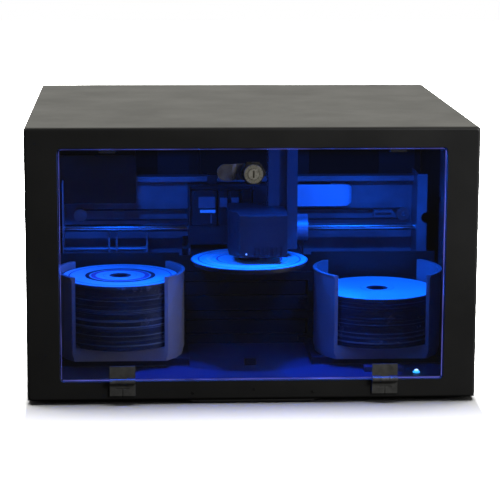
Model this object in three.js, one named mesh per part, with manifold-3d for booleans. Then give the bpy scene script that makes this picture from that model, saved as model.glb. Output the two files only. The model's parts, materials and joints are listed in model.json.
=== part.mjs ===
// Disc publisher: a steel case with a clear hinged door, two disc bins, two stacked
// disc recorders, a disc printer on a sliding tray and a picker that carries the discs.
// Millimetres. +X right, +Y back into the case, +Z up; the origin is under the middle
// of the whole object, on the surface that it stands on.
import * as THREE from 'three';
import { mergeVertices } from 'three/addons/utils/BufferGeometryUtils.js';
import Module from 'manifold-3d';

// Driving dimensions
const clearance = 0.3;
const overrun = 1;
const body = { width: 444.5, depth: 404, height: 271.4, sheet: 1.5, bend: 3 };
const foot = { radius: 11, height: 3.5, inset: 34, chamfer: 1 };
const bezel = {
  depth: 4.2, edge: 3, lipWall: 2, lipDepth: 5.3, bottomMargin: 19.5, topMargin: 19.9, sideMargin: 32.25,
};
const windowHole = {
  width: body.width - 2 * bezel.sideMargin,
  height: body.height - bezel.bottomMargin - bezel.topMargin,
  corner: 4,
};
const paneGap = { beside: 1.25, below: 1, above: 1 };
const pane = {
  width: windowHole.width - 2 * paneGap.beside,
  height: windowHole.height - paneGap.below - paneGap.above,
  thickness: 5,
  corner: 3.5,
};
const hinge = { width: 25.4, fromSide: 60, barrel: 3, pin: 1.2, leaf: 1.5, reach: 15, above: 0.8 };
const disc = { radius: 60, hole: 7.5, thickness: 1.2, hub: 11 };
const station = { x: 1.5, depth: 94, fromSide: 71.7 };
const sideRoom = 16.75;
const deckTop = 23.5;
const bin = { inner: 62.6, wall: 2.9, rim: 1, top: 118.5, seatHeight: 8, baseHeight: 13.7 };
const stackHeights = { left: 66, right: 51 };
const recorder = {
  width: 146, height: 41.3, length: 165, front: 161, bezelSide: 1, bezelDepth: 3.7,
  bottom: 17.5, pitch: 42.1,
};
const shelf = { top: 104.1, front: 168, fromBack: 30, fromSide: 4.5 };
const tray = { radius: 58, thickness: 3.6, bottom: 123, back: 232 };
const gear = { module: 1, teeth: 12, addendum: 0.7, dedendum: 1, play: 0.12, pressure: 20 };
const chassis = { plate: 212, fromLeft: 12, fromRight: 18, top: 198, front: 168 };
const guide = { radius: 4, depth: 184, height: 145 };
const belt = { height: 155.6, inner: 5, thickness: 1, front: 203, width: 5, inset: 12 };
const railBar = { size: 10, depth: 126, fromTop: 24.9 };
const column = { left: 21.5, web: 103.7, bottom: 137, gapAbove: 4 };
const head = { left: -20, right: 38, front: 60, bottom: 135.7, top: 181 };

// Places that follow from them
const caseBottom = foot.height;
const caseTop = caseBottom + body.height;
const halfWidth = body.width / 2;
const innerHalf = halfWidth - body.sheet;
const bayHalf = innerHalf - sideRoom;
const binPitch = bayHalf - station.fromSide;
const shelfHalf = bayHalf - shelf.fromSide;
const shelfBack = body.depth - shelf.fromBack;
const chassisLeft = chassis.fromLeft - bayHalf;
const chassisRight = bayHalf - chassis.fromRight;
const beltReach = chassisRight - belt.inset;
const floorTop = caseBottom + body.sheet;
const floorSeat = floorTop + clearance;
const windowBottom = caseBottom + bezel.bottomMargin;
const windowTop = windowBottom + windowHole.height;
const windowHalf = windowHole.width / 2;
const paneBottom = windowBottom + paneGap.below;
const lipBack = bezel.depth + bezel.lipDepth;
const hingeAxis = { y: -(clearance + hinge.barrel), z: windowBottom + hinge.above };
const seatTop = deckTop + bin.seatHeight;
const binBottom = seatTop + clearance;
const binOuter = bin.inner + bin.wall;
const binBaseTop = binBottom + bin.baseHeight;
const bezelWidth = recorder.width + 2 * recorder.bezelSide;
const bulkheadFront = recorder.front + recorder.bezelDepth + clearance;
const railBottom = caseTop - railBar.fromTop;
const railTop = railBottom + railBar.size;
const columnTop = railBottom - column.gapAbove;
const stackTop = recorder.bottom + recorder.pitch + recorder.height;
const trayTop = tray.bottom + tray.thickness;
const pitchRadius = (gear.module * gear.teeth) / 2;
const guideFit = guide.radius + clearance;
const frontReach = clearance + 2 * hinge.barrel;
const middle = (body.depth - frontReach) / 2;

const wasm = await Module();
wasm.setup();
const weld = 1e-4;
const cornerSteps = 4;
const roundSteps = 40;
const smallSteps = 18;
const object = new THREE.Group();
object.position.y = -middle;

// Solids from three.js geometry
function solid(geometry) {
  const loose = geometry.index ? geometry.toNonIndexed() : geometry;
  const bare = new THREE.BufferGeometry();
  bare.setAttribute('position', loose.getAttribute('position'));
  const merged = mergeVertices(bare, weld);
  const triVerts = new Uint32Array(merged.index.array);
  const vertProperties = merged.attributes.position.array;
  const made = new wasm.Manifold(new wasm.Mesh({ numProp: 3, vertProperties, triVerts }));
  if (made.volume() > 0) return made;
  triVerts.reverse();
  return new wasm.Manifold(new wasm.Mesh({ numProp: 3, vertProperties, triVerts }));
}

// A finished solid becomes a named mesh of the object
function piece(name, made, material) {
  const { numProp, vertProperties, triVerts } = made.getMesh();
  const position = new Float32Array(triVerts.length * 3);
  triVerts.forEach((vertex, i) => {
    position.set(vertProperties.subarray(vertex * numProp, vertex * numProp + 3), i * 3);
  });
  const geometry = new THREE.BufferGeometry();
  geometry.setAttribute('position', new THREE.BufferAttribute(position, 3));
  geometry.computeVertexNormals();
  const mesh = new THREE.Mesh(geometry, new THREE.MeshStandardMaterial(material));
  mesh.name = name;
  object.add(mesh);
}

// A block between two values on each axis
function block([x0, x1], [y0, y1], [z0, z1]) {
  const geometry = new THREE.BoxGeometry(x1 - x0, y1 - y0, z1 - z0);
  return solid(geometry.translate((x0 + x1) / 2, (y0 + y1) / 2, (z0 + z1) / 2));
}

const X = new THREE.Vector3(1, 0, 0);
const Y = new THREE.Vector3(0, 1, 0);
const Z = new THREE.Vector3(0, 0, 1);
const bases = {
  x: new THREE.Matrix4().makeBasis(Y, Z, X),
  y: new THREE.Matrix4().makeBasis(X, Z, Y.clone().negate()),
  z: new THREE.Matrix4(),
};

// An outline pulled along an axis: drawn in YZ for x, in XZ for y and in XY for z
function prism(shape, axis, [from, to], steps = cornerSteps, bevel = {}) {
  const rim = bevel.bevelEnabled ? bevel.bevelThickness : 0;
  const curveSegments = steps / 2;
  const options = { depth: to - from - rim, bevelEnabled: false, curveSegments, ...bevel };
  const geometry = new THREE.ExtrudeGeometry(shape, options).applyMatrix4(bases[axis]);
  if (axis === 'x') return solid(geometry.translate(from, 0, 0));
  return solid(axis === 'y' ? geometry.translate(0, to, 0) : geometry.translate(0, 0, from));
}

// A round bar along an axis; centre gives its place on the two other axes
function rod(axis, radius, [from, to], [u, v], steps = smallSteps) {
  const shape = new THREE.Shape().absarc(u, v, radius, 0, Math.PI * 2);
  return prism(shape, axis, [from, to], steps);
}

// A profile of [radius, along] points spun round an axis
function spun(axis, points, [u, v], steps = roundSteps) {
  const line = points.map(([r, along]) => new THREE.Vector2(r, along));
  const geometry = new THREE.LatheGeometry(line, steps);
  if (axis === 'z') return solid(geometry.rotateX(Math.PI / 2).translate(u, v, 0));
  if (axis === 'y') return solid(geometry.translate(u, 0, v));
  return solid(geometry.rotateZ(-Math.PI / 2).translate(0, u, v));
}

function outline(points) {
  return new THREE.Shape(points.map(([u, v]) => new THREE.Vector2(u, v)));
}

function roundedRect([u0, u1], [v0, v1], r) {
  const shape = new THREE.Shape();
  shape.absarc(u1 - r, v1 - r, r, 0, Math.PI / 2);
  shape.absarc(u0 + r, v1 - r, r, Math.PI / 2, Math.PI);
  shape.absarc(u0 + r, v0 + r, r, Math.PI, Math.PI * 1.5);
  shape.absarc(u1 - r, v0 + r, r, Math.PI * 1.5, Math.PI * 2);
  return shape;
}

// The same span mirrored to the left side when side is -1
function sided(side, from, to) {
  return side > 0 ? [from, to] : [-to, -from];
}

function around(centre, reach) {
  return [centre - reach, centre + reach];
}

function beside(side, from, to) {
  return sided(side, from, to).map((x) => x + station.x);
}

function joined(solids) {
  return solids.reduce((whole, part) => whole.add(part));
}

// Finishes, with the colours of the real parts
const finish = {
  caseSteel: { color: 0x1c1c1e, roughness: 0.5, metalness: 0.3 },
  bareSteel: { color: 0xb4b8bd, roughness: 0.35, metalness: 0.9 },
  zinc: { color: 0x9a9fa6, roughness: 0.45, metalness: 0.8 },
  chrome: { color: 0xd8dade, roughness: 0.12, metalness: 1 },
  rubber: { color: 0x161616, roughness: 0.9, metalness: 0 },
  acrylic: { color: 0x8fa4d8, roughness: 0.05, metalness: 0, transparent: true, opacity: 0.25 },
  darkPlastic: { color: 0x15161c, roughness: 0.5, metalness: 0 },
  deckPlastic: { color: 0x2c3f9e, roughness: 0.55, metalness: 0 },
  binPlastic: { color: 0x8f90a0, roughness: 0.5, metalness: 0 },
  discTop: { color: 0xe8ecf2, roughness: 0.35, metalness: 0 },
  discEdge: { color: 0x4a5a78, roughness: 0.2, metalness: 0.2 },
  pickerPaint: { color: 0x23264a, roughness: 0.5, metalness: 0.2 },
  board: { color: 0x1d5a34, roughness: 0.6, metalness: 0 },
  ribbon: { color: 0x9fd0ff, roughness: 0.4, metalness: 0 },
  ink: { color: 0x2a2c36, roughness: 0.45, metalness: 0 },
  light: { color: 0x4a8cff, roughness: 0.3, metalness: 0 },
};

// Four rubber feet, pushed up against the floor of the case
function feet() {
  const across = halfWidth - foot.inset;
  const rows = { front: bezel.depth + foot.inset, rear: body.depth - foot.inset };
  const top = foot.height - clearance;
  const profile = [
    [0, 0], [foot.radius - foot.chamfer, 0], [foot.radius, foot.chamfer], [foot.radius, top], [0, top],
  ];
  for (const [row, y] of Object.entries(rows)) {
    for (const [side, x] of [['left', -across], ['right', across]]) {
      piece(`foot_${row}_${side}`, spun('z', profile, [x, y], smallSteps), finish.rubber);
    }
  }
}

// The floor of the case: a bent tray of sheet steel
const pan = { wall: 12 };
function basePan() {
  const out = innerHalf - clearance;
  const inside = out - body.sheet;
  const section = outline([
    [-out, caseBottom], [out, caseBottom], [out, floorTop + pan.wall],
    [inside, floorTop + pan.wall], [inside, floorTop], [-inside, floorTop],
    [-inside, floorTop + pan.wall], [-out, floorTop + pan.wall],
  ]);
  const span = [bezel.depth + clearance, body.depth];
  piece('base_pan', prism(section, 'y', span), finish.caseSteel);
}

// The top and both sides, one sheet bent over twice
function topCover() {
  const outer = new THREE.Shape();
  const inner = body.bend - body.sheet;
  outer.moveTo(halfWidth, caseBottom);
  outer.lineTo(halfWidth, caseTop - body.bend);
  outer.absarc(halfWidth - body.bend, caseTop - body.bend, body.bend, 0, Math.PI / 2);
  outer.absarc(-halfWidth + body.bend, caseTop - body.bend, body.bend, Math.PI / 2, Math.PI);
  outer.lineTo(-halfWidth, caseBottom);
  outer.lineTo(-innerHalf, caseBottom);
  outer.absarc(-halfWidth + body.bend, caseTop - body.bend, inner, Math.PI, Math.PI / 2, true);
  outer.absarc(halfWidth - body.bend, caseTop - body.bend, inner, Math.PI / 2, 0, true);
  outer.lineTo(innerHalf, caseBottom);
  const span = [bezel.depth + clearance, body.depth];
  piece('top_cover', prism(outer, 'y', span), finish.caseSteel);
}

// The front panel: rounded edges, a window and a lip behind it that stiffens the window
const stop = { width: 16, reach: 5, thickness: 2, fromEdge: 40 };
function frontBezel() {
  const e = bezel.edge;
  const face = roundedRect([-halfWidth + e, halfWidth - e], [caseBottom + e, caseTop - e], e / 2);
  const bevel = {
    bevelEnabled: true, bevelThickness: e, bevelSize: e, bevelSegments: 3,
  };
  const panel = prism(face, 'y', [0, bezel.depth + e], cornerSteps, bevel);
  const behind = block(around(0, body.width), [bezel.depth, body.depth], [-body.height, 2 * caseTop]);
  const across = around(0, windowHalf);
  const opening = roundedRect(across, [windowBottom, windowTop], windowHole.corner);
  const wall = bezel.lipWall;
  const lipEdge = roundedRect(
    [across[0] - wall, across[1] + wall], [windowBottom - wall, windowTop + wall],
    windowHole.corner + wall,
  );
  const lip = prism(lipEdge, 'y', [bezel.depth / 2, lipBack]);
  const hole = prism(opening, 'y', [-overrun, lipBack + overrun]);
  const stops = [-1, 1].map((side) => block(
    sided(side, across[1] - stop.fromEdge - stop.width, across[1] - stop.fromEdge),
    [pane.thickness + clearance, pane.thickness + clearance + stop.thickness],
    [windowTop - stop.reach, windowTop + wall / 2],
  ));
  const frame = panel.subtract(behind).add(lip).subtract(hole);
  piece('front_bezel', joined([frame, ...stops]), finish.caseSteel);
}

// The finger lip under the front panel
const pull = { halfWidth: 64, slope: 8, drop: 2, depth: 18, thickness: 1.6 };
function pullLip() {
  const top = caseBottom - clearance;
  const low = top - pull.drop;
  const section = outline([
    [-pull.halfWidth, top], [-pull.halfWidth + pull.slope, low],
    [pull.halfWidth - pull.slope, low], [pull.halfWidth, top],
  ]);
  const bar = prism(section, 'y', [clearance, pull.depth]);
  const under = block(
    around(0, pull.halfWidth - pull.slope),
    [pull.thickness + clearance, pull.depth + overrun],
    [low - overrun, top - pull.drop / 2],
  );
  piece('pull_lip', bar.subtract(under), finish.caseSteel);
}

// Fan, shared by the rear panel's grille, the housing and the impeller
const fan = { size: 80, depth: 25, hole: 37.5, hub: 15, fromTop: 84.9, shaft: 1.8, blades: 7 };
const rear = { inset: 3.5, vents: 9, ventWidth: 4, ventHeight: 46, ventGap: 9, ventLeft: 92 };
const inlet = { offset: 4.5, width: 32, bottom: 26, height: 26, depth: 14, wall: 2.5 };
const supply = { gap: 11.5, fromSide: 12, length: 155.5, top: 92 };
const rocker = { gap: 7, width: 14, height: 22, wing: 9, crown: 3.2, dip: 1.8, tilt: 7 };
const usb = { inset: 40, width: 13, height: 12 };
const board = { fromSide: 14, gap: 12.5, length: 156, inset: 4.5, bottom: 12, thickness: 1.6 };

const fanHeight = caseTop - fan.fromTop;
const rearFace = body.depth - rear.inset;
const recorderBack = recorder.front + recorder.length;
const supplyFront = rearFace - supply.length;
const supplyLeft = station.x + recorder.width / 2 + supply.gap;
const supplyRight = bayHalf - supply.fromSide;
const socketWidth = inlet.wall + inlet.width + rocker.gap + rocker.width + inlet.wall;
const socketLeft = (supplyLeft + supplyRight - socketWidth) / 2 - inlet.offset;
const socketRight = socketLeft + socketWidth;
const inletLeft = socketLeft + inlet.wall;
const rockerLeft = inletLeft + inlet.width + rocker.gap;
const socketTop = inlet.bottom + inlet.height + inlet.wall;
const socketBottom = inlet.bottom - inlet.wall;
const boardLeft = board.fromSide - bayHalf;
const boardRight = station.x - recorder.width / 2 - board.gap;
const boardBack = rearFace - board.inset;
const boardFront = boardBack - board.length;
const usbLeft = boardLeft + usb.inset;
const usbBottom = board.bottom + board.thickness;

// The back of the case with the fan grille, air slots and the openings for the sockets
const grille = { bar: 3, ring: 3, rings: 3, middle: 10 };
function rearPanel() {
  const out = innerHalf - clearance - body.sheet - clearance;
  const span = [rearFace, rearFace + body.sheet];
  const through = [rearFace - overrun, rearFace + body.sheet + overrun];
  const topEdge = caseTop - body.sheet - clearance;
  let panel = block([-out, out], span, [floorSeat, topEdge]);
  const step = (fan.hole - grille.middle) / grille.rings;
  const holes = Array.from({ length: grille.rings }, (_, i) => {
    const inner = grille.middle + i * step;
    const ring = rod('y', inner + step - grille.ring, through, [0, fanHeight]);
    return ring.subtract(rod('y', inner, through, [0, fanHeight]));
  });
  const cross = block(around(0, fan.size), through, around(fanHeight, grille.bar))
    .add(block(around(0, grille.bar), through, around(fanHeight, fan.size)));
  panel = panel.subtract(joined(holes).subtract(cross));
  for (let i = 0; i < rear.vents; i += 1) {
    for (const side of [-1, 1]) {
      const from = rear.ventLeft + i * rear.ventGap;
      const across = sided(side, from, from + rear.ventWidth);
      panel = panel.subtract(block(across, through, around(fanHeight, rear.ventHeight / 2)));
    }
  }
  const socket = block(
    [socketLeft - clearance, socketRight + clearance], through,
    [socketBottom - clearance, socketTop + clearance],
  );
  const port = block(
    [usbLeft - clearance, usbLeft + usb.width + clearance], through,
    [usbBottom - clearance, usbBottom + usb.height + clearance],
  );
  piece('rear_panel', panel.subtract(socket).subtract(port), finish.caseSteel);
}

// The moulded floor of the work bay, with a raised seat for each bin and a sensor block
const deck = { skin: 2 };
const seat = { reachIn: 69.9, fromSide: 4, front: 61.5, back: 150 };
const sensor = { fromSide: 36, width: 39.5, gap: 19.5, depth: 11, height: 5.3 };
function deckTray() {
  const front = lipBack + clearance;
  const back = bulkheadFront - clearance;
  const shell = block(around(0, bayHalf), [front, back], [floorSeat, deckTop]);
  const hollow = block(
    around(0, bayHalf - deck.skin), [front + deck.skin, back + overrun],
    [floorSeat - overrun, deckTop - deck.skin],
  );
  const notch = block(
    around(station.x, bezelWidth / 2 + clearance),
    [recorder.front - clearance, back + overrun], [floorSeat - overrun, deckTop + overrun],
  );
  const seatSpan = [binPitch - seat.reachIn, bayHalf - seat.fromSide];
  const seats = [-1, 1].map((side) => block(
    beside(side, ...seatSpan), [seat.front, seat.back], [deckTop - deck.skin / 2, seatTop],
  ));
  const sensorRight = windowHalf - sensor.fromSide;
  const sensorFront = lipBack + sensor.gap;
  const sensorBlock = block(
    [sensorRight - sensor.width, sensorRight], [sensorFront, sensorFront + sensor.depth],
    [deckTop - deck.skin / 2, deckTop + sensor.height],
  );
  const made = joined([shell.subtract(hollow), ...seats, sensorBlock]).subtract(notch);
  piece('deck', made, finish.deckPlastic);
}

// A bin's plan: a circle cut straight at the given distance in front of its middle
function binPlan(side, radius, front) {
  const x = station.x + side * binPitch;
  const turn = Math.acos(front / radius);
  const shape = new THREE.Shape();
  shape.absarc(x, station.depth, radius, -Math.PI / 2 + turn, Math.PI * 1.5 - turn);
  return shape;
}

// The open bins: two curved walls on a base, open at the front and at the back
const cut = { front: 44, back: 41.5, flare: 3.5 };
const base = { wall: 2.5, top: 2.5, corner: 7 };
function bins() {
  for (const [side, name] of [[-1, 'left_bin'], [1, 'right_bin']]) {
    const at = [station.x + side * binPitch, station.depth];
    const rim = binOuter + bin.rim;
    const wall = spun('z', [
      [bin.inner, binBottom], [binOuter - base.corner / 3, binBottom],
      [binOuter, binBottom + base.corner], [binOuter, bin.top - cut.flare],
      [rim, bin.top - cut.flare / 2], [rim, bin.top], [bin.inner, bin.top], [bin.inner, binBottom],
    ], at);
    const height = [binBottom - overrun, bin.top + overrun];
    const ends = (from, to) => block(around(at[0], 2 * rim), [from, to], height);
    const walls = wall
      .subtract(ends(at[1] - 2 * rim, at[1] - cut.front))
      .subtract(ends(at[1] + cut.back, at[1] + 2 * rim));
    const plan = binPlan(side, bin.inner + bin.wall / 2, cut.front);
    const insidePlan = binPlan(side, bin.inner - base.wall, cut.front - base.wall);
    const floor = prism(plan, 'z', [binBottom, binBaseTop], smallSteps);
    const under = prism(insidePlan, 'z', [binBottom - overrun, binBaseTop - base.top], smallSteps);
    const hub = rod('z', disc.hub, [binBottom, binBaseTop], at);
    piece(name, joined([walls, floor.subtract(under), hub]), finish.binPlastic);
  }
}

// The stacks of discs that stand in the bins
function stacks() {
  for (const [side, name] of [[-1, 'left'], [1, 'right']]) {
    const bottom = binBaseTop + clearance;
    const top = bottom + stackHeights[name];
    const profile = discProfile(bottom, top);
    const made = spun('z', profile, [station.x + side * binPitch, station.depth]);
    piece(`${name}_disc_stack`, made, name === 'left' ? finish.discEdge : finish.discTop);
  }
}

function discProfile(bottom, top) {
  const { hole, radius } = disc;
  return [[hole, bottom], [radius, bottom], [radius, top], [hole, top], [hole, bottom]];
}

// The plate behind the bins, open for the recorders and lower under the tray
const bulkhead = { top: 121.5, middleTop: 118.5, trayHalf: 70 };
function bulkheadPlate() {
  const span = [bulkheadFront, bulkheadFront + body.sheet];
  const through = [span[0] - overrun, span[1] + overrun];
  const plate = block(around(0, bayHalf), span, [floorSeat, bulkhead.top]);
  const half = recorder.width / 2 + clearance;
  const opening = block(
    around(station.x, half), through, [recorder.bottom - clearance, stackTop + clearance],
  );
  const low = block(
    around(station.x, bulkhead.trayHalf), through, [bulkhead.middleTop, bulkhead.top + overrun],
  );
  piece('bulkhead', plate.subtract(opening).subtract(low), finish.caseSteel);
}

// A disc recorder: a housing with a bay for its tray, and a front with a button hole
const bay = { bottom: 16, height: 16, side: 6.5, back: 5 };
const bayReach = recorder.width / 2 - bay.side;
const loader = { thickness: 8, side: 3.5, length: 150, recess: 2.2, spare: 1, rim: 5 };
const door = { side: 2.5, bottom: 17, height: 14, depth: 3.2, corner: 2 };
const button = { x: 61, z: 10, width: 9, height: 4.5, proud: 1.2, travel: 1.2, length: 7 };
function recorders() {
  for (const [name, level] of [['lower', 0], ['upper', 1]]) {
    const z = recorder.bottom + level * recorder.pitch;
    const front = recorder.front;
    const behind = front + recorder.bezelDepth;
    const housing = block(
      around(station.x, recorder.width / 2), [behind - overrun, recorderBack], [z, z + recorder.height],
    );
    const faceShape = roundedRect(
      around(station.x, bezelWidth / 2), [z, z + recorder.height], overrun,
    );
    const face = prism(faceShape, 'y', [front, behind]);
    const cavity = block(
      around(station.x, bayReach), [front - overrun, recorderBack - bay.back],
      [z + bay.bottom, z + bay.bottom + bay.height],
    );
    const well = block(
      around(station.x + button.x, button.width / 2 + clearance),
      [front - overrun, front + button.length + button.travel + clearance],
      around(z + button.z, button.height / 2 + clearance),
    );
    piece(`recorder_${name}`, face.add(housing).subtract(cavity).subtract(well), finish.zinc);
    recorderTray(name, z, front);
    const key = block(
      around(station.x + button.x, button.width / 2), [front - button.proud, front + button.length],
      around(z + button.z, button.height / 2),
    );
    piece(`eject_button_${name}`, key, finish.darkPlastic);
  }
}

// The recorder's own tray, with its disc recess and its narrow front door
function recorderTray(name, z, front) {
  const bottom = z + bay.bottom + clearance;
  const top = bottom + loader.thickness;
  const start = front + door.depth;
  const middleY = start + disc.radius + loader.rim;
  const plate = block(
    around(station.x, bayReach - loader.side), [start - overrun, start + loader.length],
    [bottom, top],
  );
  const recessDepth = [top - loader.recess, top + overrun];
  const recessRadius = disc.radius + loader.spare;
  const recess = rod('z', recessRadius, recessDepth, [station.x, middleY], roundSteps);
  const slotSpan = [middleY - 2 * disc.hub, start + loader.length - 2 * disc.hub];
  const slot = roundedRect(around(station.x, 2 * disc.hub), slotSpan, disc.hub);
  const doorBottom = z + door.bottom;
  const doorSpan = [doorBottom, doorBottom + door.height];
  const doorWidth = around(station.x, bayReach - door.side);
  const doorShape = roundedRect(doorWidth, doorSpan, door.corner);
  const made = plate.subtract(recess)
    .subtract(prism(slot, 'z', [bottom - overrun, top + overrun]))
    .add(prism(doorShape, 'y', [front, start]));
  piece(`recorder_tray_${name}`, made, finish.darkPlastic);
}

// Involute gear outline with one tooth pointing along angle turn
function gearOutline([u, v], turn) {
  const r = pitchRadius;
  const baseRadius = r * Math.cos((gear.pressure * Math.PI) / 180);
  const tip = r + gear.addendum;
  const root = r - gear.dedendum;
  const roll = (radius) => {
    const a = Math.acos(Math.min(1, baseRadius / radius));
    return Math.tan(a) - a;
  };
  const half = Math.PI / (2 * gear.teeth) - gear.play / r + roll(r);
  const flank = [baseRadius, (baseRadius + tip) / 2, tip].map((radius) => [radius, half - roll(radius)]);
  const points = [];
  for (let i = 0; i < gear.teeth; i += 1) {
    const mid = turn + (i * 2 * Math.PI) / gear.teeth;
    points.push([root, mid - half]);
    flank.forEach(([radius, a]) => points.push([radius, mid - a]));
    [...flank].reverse().forEach(([radius, a]) => points.push([radius, mid + a]));
    points.push([root, mid + half]);
  }
  return outline(points.map(([radius, a]) => [u + radius * Math.cos(a), v + radius * Math.sin(a)]));
}

// Rack teeth as [along, out] points, with a space at the place called at
function rackTeeth(at, [from, to]) {
  const pitch = Math.PI * gear.module;
  const slope = Math.tan((gear.pressure * Math.PI) / 180);
  const half = pitch / 4 - gear.play;
  const points = [];
  const first = Math.ceil((from - at) / pitch);
  for (let k = first; at + (k + 1) * pitch < to; k += 1) {
    const mid = at + (k + 0.5) * pitch;
    points.push([mid - half - slope * gear.dedendum, -gear.dedendum]);
    points.push([mid - half + slope * gear.addendum, gear.addendum]);
    points.push([mid + half - slope * gear.addendum, gear.addendum]);
    points.push([mid + half + slope * gear.dedendum, -gear.dedendum]);
  }
  return points;
}

// The bridge of sheet steel over the recorders: legs, recorder cheeks and tray rails
const rail = { wall: 2, ledge: 3, ledgeHeight: 3, lipAbove: 0.6, fromBack: 2 };
const pinion = { halfWidth: 4, depth: 226, shaft: 2 };
const rack = { x: -51, halfWidth: 3, front: 76 };
const pinionHeight = tray.bottom - gear.dedendum - pitchRadius;
const motor = { radius: 9.5, length: 28, gap: 6 };
function innerFrame() {
  const depth = [shelf.front, shelfBack];
  const s = body.sheet;
  const top = block(around(0, shelfHalf), depth, [shelf.top - s, shelf.top]);
  const half = recorder.width / 2 + clearance;
  const parts = [top];
  const wallTop = trayTop - rail.lipAbove;
  for (const side of [-1, 1]) {
    const leg = sided(side, shelfHalf - s, shelfHalf);
    parts.push(block(leg, depth, [floorSeat, shelf.top - s / 2]));
    const cheekDepth = [shelf.front + s, recorderBack + 2 * s];
    parts.push(block(beside(side, half, half + s), cheekDepth, [floorSeat, shelf.top - s / 2]));
    const inner = tray.radius + clearance;
    const trackDepth = [shelf.front, shelfBack - rail.fromBack];
    const track = block(beside(side, inner, inner + rail.wall), trackDepth, [shelf.top - s / 2, wallTop]);
    const ledgeTop = tray.bottom - clearance;
    const ledge = block(
      beside(side, inner - rail.ledge, inner + rail.wall / 2), trackDepth,
      [ledgeTop - rail.ledgeHeight, ledgeTop],
    );
    parts.push(track, ledge);
  }
  const shaftHole = rod(
    'x', pinion.shaft + clearance,
    [station.x - tray.radius - 2 * rail.wall, station.x - tray.radius + overrun],
    [pinion.depth, pinionHeight],
  );
  piece('inner_frame', joined(parts).subtract(shaftHole), finish.zinc);
}

// The printer's tray: round front under the disc, rails at its sides, a rack below
const trayHole = 12;
const crescent = { gap: 0.5, width: 2, height: 2.4, half: 52 };
function printTray() {
  const shape = new THREE.Shape();
  shape.moveTo(station.x + tray.radius, tray.back);
  shape.lineTo(station.x - tray.radius, tray.back);
  shape.absarc(station.x, station.depth, tray.radius, Math.PI, Math.PI * 2);
  shape.holes.push(new THREE.Path().absarc(station.x, station.depth, trayHole, 0, Math.PI * 2));
  const plate = prism(shape, 'z', [tray.bottom, trayTop], smallSteps);
  const inner = disc.radius + crescent.gap;
  const band = [trayTop - crescent.width / 2, trayTop + crescent.height];
  const at = [station.x, station.depth];
  const ring = rod('z', inner + crescent.width, band, at, roundSteps)
    .subtract(rod('z', inner, [band[0] - overrun, band[1] + overrun], at, roundSteps))
    .intersect(block(around(at[0], crescent.half), [at[1], tray.back], [trayTop - overrun, 2 * trayTop]));
  const pitchLine = tray.bottom - gear.dedendum;
  const low = rackTeeth(pinion.depth, [rack.front, tray.back]).map(([y, out]) => [y, pitchLine - out]);
  const grip = tray.bottom + tray.thickness / 2;
  const teeth = outline([[low[0][0], grip], ...low, [low[low.length - 1][0], grip]]);
  const made = joined([plate, ring, prism(teeth, 'x', around(station.x + rack.x, rack.halfWidth))]);
  piece('print_tray', made, finish.darkPlastic);
  const discBottom = trayTop + clearance;
  const profile = discProfile(discBottom, discBottom + disc.thickness);
  piece('printed_disc', spun('z', profile, at), finish.discTop);
}

// The pinion that drives the tray's rack, on its cross shaft, and its gear motor
function trayDrive() {
  const at = [pinion.depth, pinionHeight];
  const motorRight = station.x - tray.radius - clearance - rail.wall - motor.gap;
  const wheelAt = station.x + rack.x;
  const wheel = prism(gearOutline(at, Math.PI / 2), 'x', around(wheelAt, pinion.halfWidth));
  const shaft = rod('x', pinion.shaft, [motorRight - overrun, wheelAt], at);
  piece('tray_pinion', wheel.add(shaft), finish.binPlastic);
  const can = rod('x', motor.radius, [motorRight - motor.length, motorRight], at);
  const bore = rod('x', pinion.shaft + clearance, [motorRight - 2 * overrun, motorRight + overrun], at);
  const mount = block(
    [motorRight - motor.length + 2 * motor.gap, motorRight], around(at[0], motor.radius),
    [shelf.top + clearance, at[1]],
  );
  piece('tray_motor', can.add(mount).subtract(bore), finish.zinc);
}

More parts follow.
